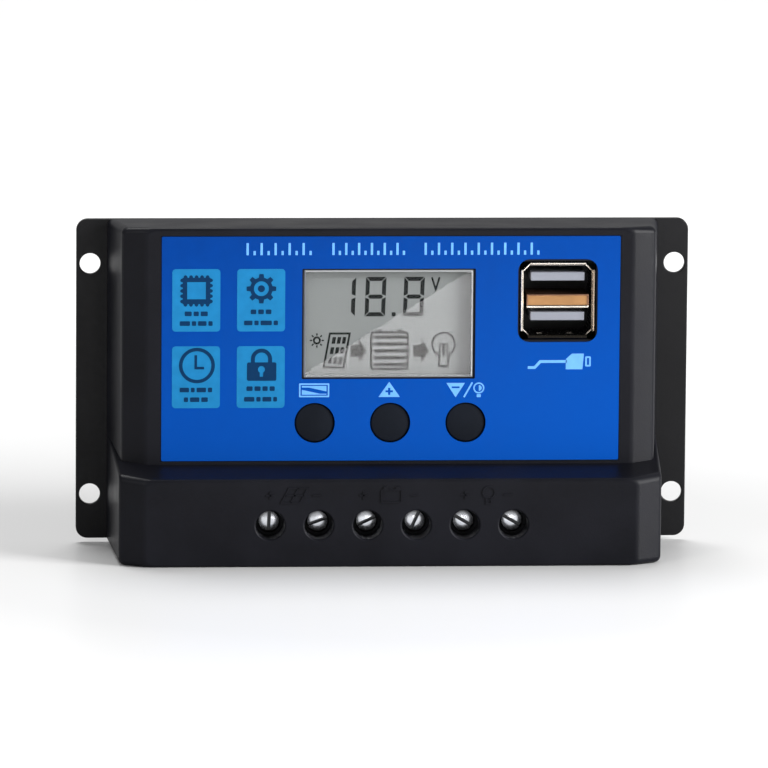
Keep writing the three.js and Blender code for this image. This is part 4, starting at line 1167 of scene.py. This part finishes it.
# ---------------------------------------------------------------- repeated pieces, by geometry nodes
class Tree:
    """A geometry node tree with named inputs."""

    def __init__(self, name, inputs):
        self.group = bpy.data.node_groups.new(name, "GeometryNodeTree")
        self.group.interface.new_socket("Geometry", in_out="OUTPUT",
                                        socket_type="NodeSocketGeometry")
        for label, kind, value in inputs:
            socket = self.group.interface.new_socket(label, in_out="INPUT",
                                                     socket_type="NodeSocket" + kind)
            if value is not None:
                socket.default_value = value
        self.given = self.group.nodes.new("NodeGroupInput").outputs
        self.end = self.group.nodes.new("NodeGroupOutput")

    def add(self, kind, inputs=(), prefix="GeometryNode", **settings):
        """Add a node, set its properties and its inputs, which are values or sockets."""
        return new_node(self.group, prefix + kind, inputs, settings).outputs

    def sum(self, operation, one, two):
        """A sum with two numbers."""
        return self.add("Math", {0: one, 1: two}, "ShaderNode", operation=operation)[0]

    def vector(self, x=0.0, y=0.0, z=0.0):
        """A vector from three numbers."""
        return self.add("CombineXYZ", {0: x, 1: y, 2: z}, "ShaderNode")[0]

    def close(self, geometry):
        """End the tree: instances made real, with the material set."""
        real = self.add("RealizeInstances", {0: geometry})[0]
        done = self.add("SetMaterial", {"Geometry": real, "Material": self.given["Material"]})[0]
        self.group.links.new(done, self.end.inputs[0])
        return self.group


def grown(name, group, finish, values):
    """A plain mesh object grown by a node tree, its inputs given by name."""
    obj = linked(name, bpy.data.meshes.new(name))
    modifier = obj.modifiers.new(name, "NODES")
    modifier.node_group = group
    keys = {item.name: item.identifier for item in group.interface.items_tree
            if item.item_type == "SOCKET" and item.in_out == "INPUT"}
    for label, value in {**values, "Material": Finishes.get(finish)}.items():
        modifier[keys[label]] = value
    baked(obj)
    if not obj.data.polygons:
        raise RuntimeError(f"{name}: its node tree made nothing")
    return obj


def screw_tree():
    """A domed screw with a slot or a cross, repeated on a grid of places."""
    t = Tree("domed_screw", (
        ("Head Radius", "Float", 0.002), ("Head Thickness", "Float", 0.002),
        ("Crown", "Float", 0.0005), ("Shank Radius", "Float", 0.0015),
        ("Shank Length", "Float", 0.01), ("Slot Width", "Float", 0.0007),
        ("Slot Depth", "Float", 0.001), ("Slot Reach", "Float", 0.01), ("Cross", "Bool", False),
        ("Turn", "Vector", (0.0, 0.0, 0.0)), ("Place", "Vector", (0.0, 0.0, 0.0)),
        ("Columns", "Int", 1), ("Rows", "Int", 1), ("Width", "Float", 0.0),
        ("Height", "Float", 0.0), ("Material", "Material", None)))
    given = t.given
    head = t.add("MeshCylinder", {"Vertices": 40, "Side Segments": 1, "Fill Segments": 8,
                                  "Radius": given["Head Radius"],
                                  "Depth": given["Head Thickness"]})["Mesh"]
    spot = t.add("SeparateXYZ", {0: t.add("InputPosition")[0]}, "ShaderNode")
    flat_place = t.vector(spot[0], spot[1], 0.0)
    reach = t.add("VectorMath", {0: flat_place}, "ShaderNode", operation="LENGTH")["Value"]
    share = t.sum("DIVIDE", reach, given["Head Radius"])
    fall = t.sum("POWER", share, 2.4)
    drop = t.sum("MULTIPLY", fall, given["Crown"])
    above = t.sum("GREATER_THAN", spot[2], 0.0)
    lower = t.sum("MULTIPLY", t.sum("MULTIPLY", drop, above), -1.0)
    head = t.add("SetPosition", {"Geometry": head, "Offset": t.vector(0.0, 0.0, lower)})[0]
    half = t.sum("MULTIPLY", given["Head Thickness"], 0.5)
    down = t.sum("MULTIPLY", half, -1.0)
    head = t.add("Transform", {"Geometry": head, "Translation": t.vector(z=down)})[0]
    shank = t.add("MeshCylinder", {"Vertices": 28, "Radius": given["Shank Radius"],
                                   "Depth": given["Shank Length"]})["Mesh"]
    shank_z = t.sum("MULTIPLY", t.sum("ADD", given["Shank Length"], half), -0.5)
    shank_z = t.sum("ADD", shank_z, t.sum("MULTIPLY", half, -0.5))
    shank = t.add("Transform", {"Geometry": shank, "Translation": t.vector(z=shank_z)})[0]
    body = t.add("MeshBoolean", {"Mesh 2": head}, operation="UNION", solver="EXACT")
    t.group.links.new(shank, t.group.nodes[-1].inputs["Mesh 2"])
    tall = t.sum("MULTIPLY", given["Slot Depth"], 2.0)
    slots = []
    for size in (t.vector(given["Slot Reach"], given["Slot Width"], tall),
                 t.vector(given["Slot Width"], given["Slot Reach"], tall)):
        slots.append(t.add("MeshCube", {"Size": size})["Mesh"])
    both = t.add("MeshBoolean", {"Mesh 2": slots[0]}, operation="UNION", solver="EXACT")
    t.group.links.new(slots[1], t.group.nodes[-1].inputs["Mesh 2"])
    tool = t.add("Switch", {"Switch": given["Cross"], "False": slots[0], "True": both[0]},
                 input_type="GEOMETRY")[0]
    piece = t.add("MeshBoolean", {"Mesh 1": body[0], "Mesh 2": tool}, operation="DIFFERENCE",
                  solver="EXACT")[0]
    grid = t.add("MeshGrid", {"Size X": given["Width"], "Size Y": given["Height"],
                              "Vertices X": given["Columns"], "Vertices Y": given["Rows"]})["Mesh"]
    grid = t.add("Transform", {"Geometry": grid, "Translation": given["Place"],
                               "Rotation": (math.pi / 2, 0.0, 0.0)})[0]
    screws = t.add("InstanceOnPoints", {"Points": grid, "Instance": piece,
                                        "Rotation": given["Turn"]})[0]
    return t.close(screws)


SLOT_ANGLES = (88.0, 20.0, 25.0, 65.0, -30.0, -30.0)    # each as its screw was left


def build_screws(s):
    """The six slotted clamp screws, one to a body, and the four cross-head case screws."""
    group = screw_tree()
    head, cap = 2.0, 1.2
    for i, place, angle in zip(CLAMPS, CLAMP_PLACES, SLOT_ANGLES):
        node = f"terminal_screw_{i}"
        lo, hi = low(node), high(node)
        front = Vector((place.x, lo.y - 0.12, place.z)) * MM
        obj = grown(f"clamp_screw_{i}", group, "clamp_screw_steel", {
            "Head Radius": 2.15 * MM, "Head Thickness": head * MM, "Crown": s.screw_crown,
            "Shank Radius": 1.5 * MM, "Shank Length": (hi.y - lo.y - head) * MM,
            "Slot Width": s.slot_width, "Slot Depth": 1.05 * MM, "Slot Reach": 8.0 * MM,
            "Turn": (math.pi / 2, -math.radians(angle), 0.0), "Place": front})
        settle(obj, "clamp_screw_steel", [node], f"screw_{i}")
    nodes = [f"case_screw_{i}" for i in range(1, 5)]
    lo, hi = low(nodes[0]), high(nodes[0])
    back = Vector((0.0, hi.y, sum(BOSS_ZS) / 2)) * MM
    obj = grown("case_screws", group, "screw_steel", {
        "Head Radius": 2.85 * MM, "Head Thickness": cap * MM, "Crown": 0.25 * MM,
        "Shank Radius": 1.25 * MM, "Shank Length": (hi.y - lo.y - cap) * MM, "Cross": True,
        "Slot Width": 0.7 * MM, "Slot Depth": 0.8 * MM, "Slot Reach": 3.4 * MM,
        "Turn": (-math.pi / 2, 0.0, 0.0), "Place": back, "Columns": 2, "Rows": 2,
        "Width": 2 * BOSS_X * MM, "Height": (BOSS_ZS[1] - BOSS_ZS[0]) * MM})
    settle(obj, "screw_steel", nodes)


def tick_tree():
    """A row of upright ticks."""
    t = Tree("tick_row", (
        ("Count", "Int", 5), ("Pitch", "Float", 0.0018), ("Tick Width", "Float", 0.0005),
        ("Tick Height", "Float", 0.002), ("Relief", "Float", 0.0001),
        ("Place", "Vector", (0.0, 0.0, 0.0)), ("Material", "Material", None)))
    given = t.given
    row = t.add("MeshLine", {"Count": given["Count"], "Start Location": given["Place"],
                             "Offset": t.vector(given["Pitch"])})["Mesh"]
    size = t.vector(given["Tick Width"], given["Relief"], given["Tick Height"])
    tick = t.add("MeshCube", {"Size": size})["Mesh"]
    return t.close(t.add("InstanceOnPoints", {"Points": row, "Instance": tick})[0])


TITLE_ROWS = ((-30.6, 5, 3.0), (-12.2, 6, 2.75), (7.6, 9, 2.85))   # start, count and pitch
TITLE_Z = 67.4


def build_title(s):
    """Plain ticks over the display, in three groups, where a title would stand."""
    group = tick_tree()
    film = s.print_relief
    for i, (start, count, pitch) in enumerate(TITLE_ROWS, 1):
        for part, shift, z, tall in (("long", 0.0, TITLE_Z, 2.6),
                                     ("short", pitch / 2, TITLE_Z - 0.85, 0.9)):
            place = Vector((start + shift, y_at(FACE_DEPTH), z)) * MM - Vector((0, film / 2, 0))
            obj = grown(f"title_ticks_{part}_{i}", group, "mark_ink", {
                "Count": count, "Pitch": pitch * MM, "Tick Width": 0.5 * MM,
                "Tick Height": tall * MM, "Relief": film, "Place": place})
            settle(obj, "mark_ink", ["face_label"], weighted=False)


# ---------------------------------------------------------------- frame nodes that stay
def finish_nodes(_):
    """Give every frame node that still shows its procedural finish."""
    slots = {part["node"]: part["material_slot"] for part in frame["record"]["subparts"]}
    slots["usb_insulator"] = "grey_plastic"
    for name, obj in frame["nodes"].items():
        finish = Finishes.get(slots[name])
        if not obj.material_slots:
            obj.data.materials.append(finish)
        for slot in obj.material_slots:
            slot.material = finish


# ---------------------------------------------------------------- stage
CAMERA_PLACE = (-0.12734, -1.75675, 0.31055)
CAMERA_YAW = -4.125
CAMERA_PITCH = 81.174
CAMERA_ROLL = 0.453
CAMERA_LENS = 387.66
SUN_SPREAD = math.radians(32)
SKY = 0.42
CARD_GLOW = 12.0
CARD_HEIGHT = 0.0006
CARD = ((-0.0026, -0.263), (0.0547, -0.4485), (0.075, -0.4485), (0.06, -0.24), (0.0045, -0.24))
LAMPS = (
    # name, kind, place, size, power, aim
    ("overhead", "SUN", (-0.12, 0.60, 1.5), None, 2.45, (0.0, 0.0, 0.0)),
    ("right", "AREA", (1.0, -0.55, 0.40), (0.5, 0.8), 30.0, (0.0, 0.0, 0.04)),
    ("left", "AREA", (-0.9, -0.9, 0.75), (0.4, 0.4), 4.0, (0.0, 0.0, 0.04)),
)


def build_stage(c):
    """The pale floor, soft light, a reflected card and the camera."""
    bm = bmesh.new()
    bmesh.ops.create_grid(bm, x_segments=4, y_segments=4, size=4.0)
    mesh = bpy.data.meshes.new("floor")
    bm.to_mesh(mesh)
    bm.free()
    floor = linked("floor", mesh)
    n = Nodes("floor_pale")
    cloud = n.noise(3.0, 2.0)
    reach = n.add("VectorMath", {0: n.where}, operation="LENGTH").outputs["Value"]
    # painted shadow: the floor is darker within a tenth of a metre of the controller, lightening out to
    # a third of a metre
    far = n.span(reach, 0.0, 1.0, 0.1, 0.35)
    tint = n.blend(far, opaque(c.floor, 0.66), opaque(c.floor, 1.04))
    tint = n.blend(n.span(cloud, 0.0, 0.05), tint, opaque(c.floor, 1.0))
    floor.data.materials.append(n.feed(Base_Color=tint, Roughness=n.span(cloud, 0.30, 0.36),
                                       Specular_IOR_Level=0.25))

    mesh = bpy.data.meshes.new("card")
    mesh.from_pydata([(x, y, CARD_HEIGHT) for x, y in CARD], [], [tuple(range(len(CARD)))])
    card = linked("card", mesh)
    n = Nodes("card_light")
    glow = n.add("Emission", {"Color": (1.0, 0.96, 0.98, 1.0), "Strength": CARD_GLOW})
    mesh.materials.append(n.surface(glow))
    card.visible_camera = card.visible_diffuse = card.visible_shadow = False

    for name, kind, place, size, power, aim in LAMPS:
        lamp = bpy.data.lights.new(name, kind)
        if kind == "SUN":
            lamp.angle = SUN_SPREAD
        else:
            lamp.shape = "RECTANGLE"
            lamp.size, lamp.size_y = size
        lamp.energy = power
        obj = linked(name, lamp)
        obj.location = place
        obj.rotation_euler = (Vector(aim) - Vector(place)).to_track_quat("-Z", "Y").to_euler()

    world = bpy.data.worlds.new("studio")
    world.use_nodes = True
    sky = world.node_tree.nodes["Background"].inputs
    sky["Color"].default_value = (1.0, 1.0, 1.0, 1.0)
    sky["Strength"].default_value = SKY
    bpy.context.scene.world = world

    camera = bpy.data.cameras.new("camera")
    camera.lens = CAMERA_LENS
    camera.sensor_width = 36.0
    camera.clip_start, camera.clip_end = 0.01, 50.0
    obj = linked("camera", camera)
    turn = (Matrix.Rotation(math.radians(CAMERA_YAW), 4, "Z")
            @ Matrix.Rotation(math.radians(CAMERA_PITCH), 4, "X")
            @ Matrix.Rotation(math.radians(CAMERA_ROLL), 4, "Z"))
    obj.matrix_world = Matrix.Translation(CAMERA_PLACE) @ turn
    bpy.context.scene.camera = obj
    bpy.context.scene.view_settings.view_transform = "Standard"


# ---------------------------------------------------------------- operators and panel
def operator(key, label, text, work, settings="controller_sizes"):
    """An operator class that runs one building step on the scene's sizes or colours."""
    def execute(self, context):
        work(getattr(context.scene, settings))
        return {"FINISHED"}

    return type(f"CONTROLLER_OT_{key}", (bpy.types.Operator,), {
        "bl_idname": f"controller.{key}", "bl_label": label, "bl_options": {"REGISTER", "UNDO"},
        "__doc__": text, "execute": execute})


OPERATORS = (
    operator("finishes", "Finishes", "Make every finish from the colour settings",
             Finishes.build, "controller_colours"),
    operator("housing", "Housing", "Build the moulded housing and its hood", build_housing),
    operator("hood_marks", "Hood Marks", "Raise the moulded marks on the hood", build_hood_marks),
    operator("plate", "Back Plate", "Build the painted back plate with its ears", build_plate),
    operator("label", "Face Label", "Build the printed label with its tiles, icons and marks",
             build_label),
    operator("title", "Title Ticks", "Grow the rows of ticks over the display", build_title),
    operator("display", "Display", "Build the display's cell, segments, window and rim",
             build_display),
    operator("buttons", "Buttons", "Build the three push buttons", build_buttons),
    operator("sockets", "Sockets", "Build the double socket's shell, tongues and divider",
             build_sockets),
    operator("screws", "Screws", "Grow the clamp screws and the case screws", build_screws),
    operator("inner_parts", "Inner Parts", "Give the frame's own nodes their finishes",
             finish_nodes),
    operator("stage", "Stage", "Set the floor, the soft light and the camera", build_stage,
             "controller_colours"),
)


class CONTROLLER_PT_build(bpy.types.Panel):
    """Steps and settings of the charge controller"""

    bl_label = "Charge Controller"
    bl_idname = "CONTROLLER_PT_build"
    bl_space_type = "VIEW_3D"
    bl_region_type = "UI"
    bl_category = "Controller"

    def draw(self, context):
        """List the building steps, then the sizes and colours."""
        for step in OPERATORS:
            self.layout.operator(step.bl_idname)
        for group in (context.scene.controller_sizes, context.scene.controller_colours):
            column = self.layout.column()
            for key in group.__annotations__:
                column.prop(group, key)


CLASSES = (ControllerSizes, ControllerColours, *OPERATORS, CONTROLLER_PT_build)


def register():
    """Register the classes and hang the settings on the scene."""
    for cls in CLASSES:
        bpy.utils.register_class(cls)
    bpy.types.Scene.controller_sizes = PointerProperty(type=ControllerSizes)
    bpy.types.Scene.controller_colours = PointerProperty(type=ControllerColours)


def unregister():
    """Take the settings and the classes away again."""
    del bpy.types.Scene.controller_colours
    del bpy.types.Scene.controller_sizes
    for cls in reversed(CLASSES):
        bpy.utils.unregister_class(cls)


def main():
    """Build everything in order and write the two boxes."""
    register()
    for step in OPERATORS:
        name = step.bl_idname.split(".")[1]
        getattr(bpy.ops.controller, name)()


if __name__ == "__main__":
    main()
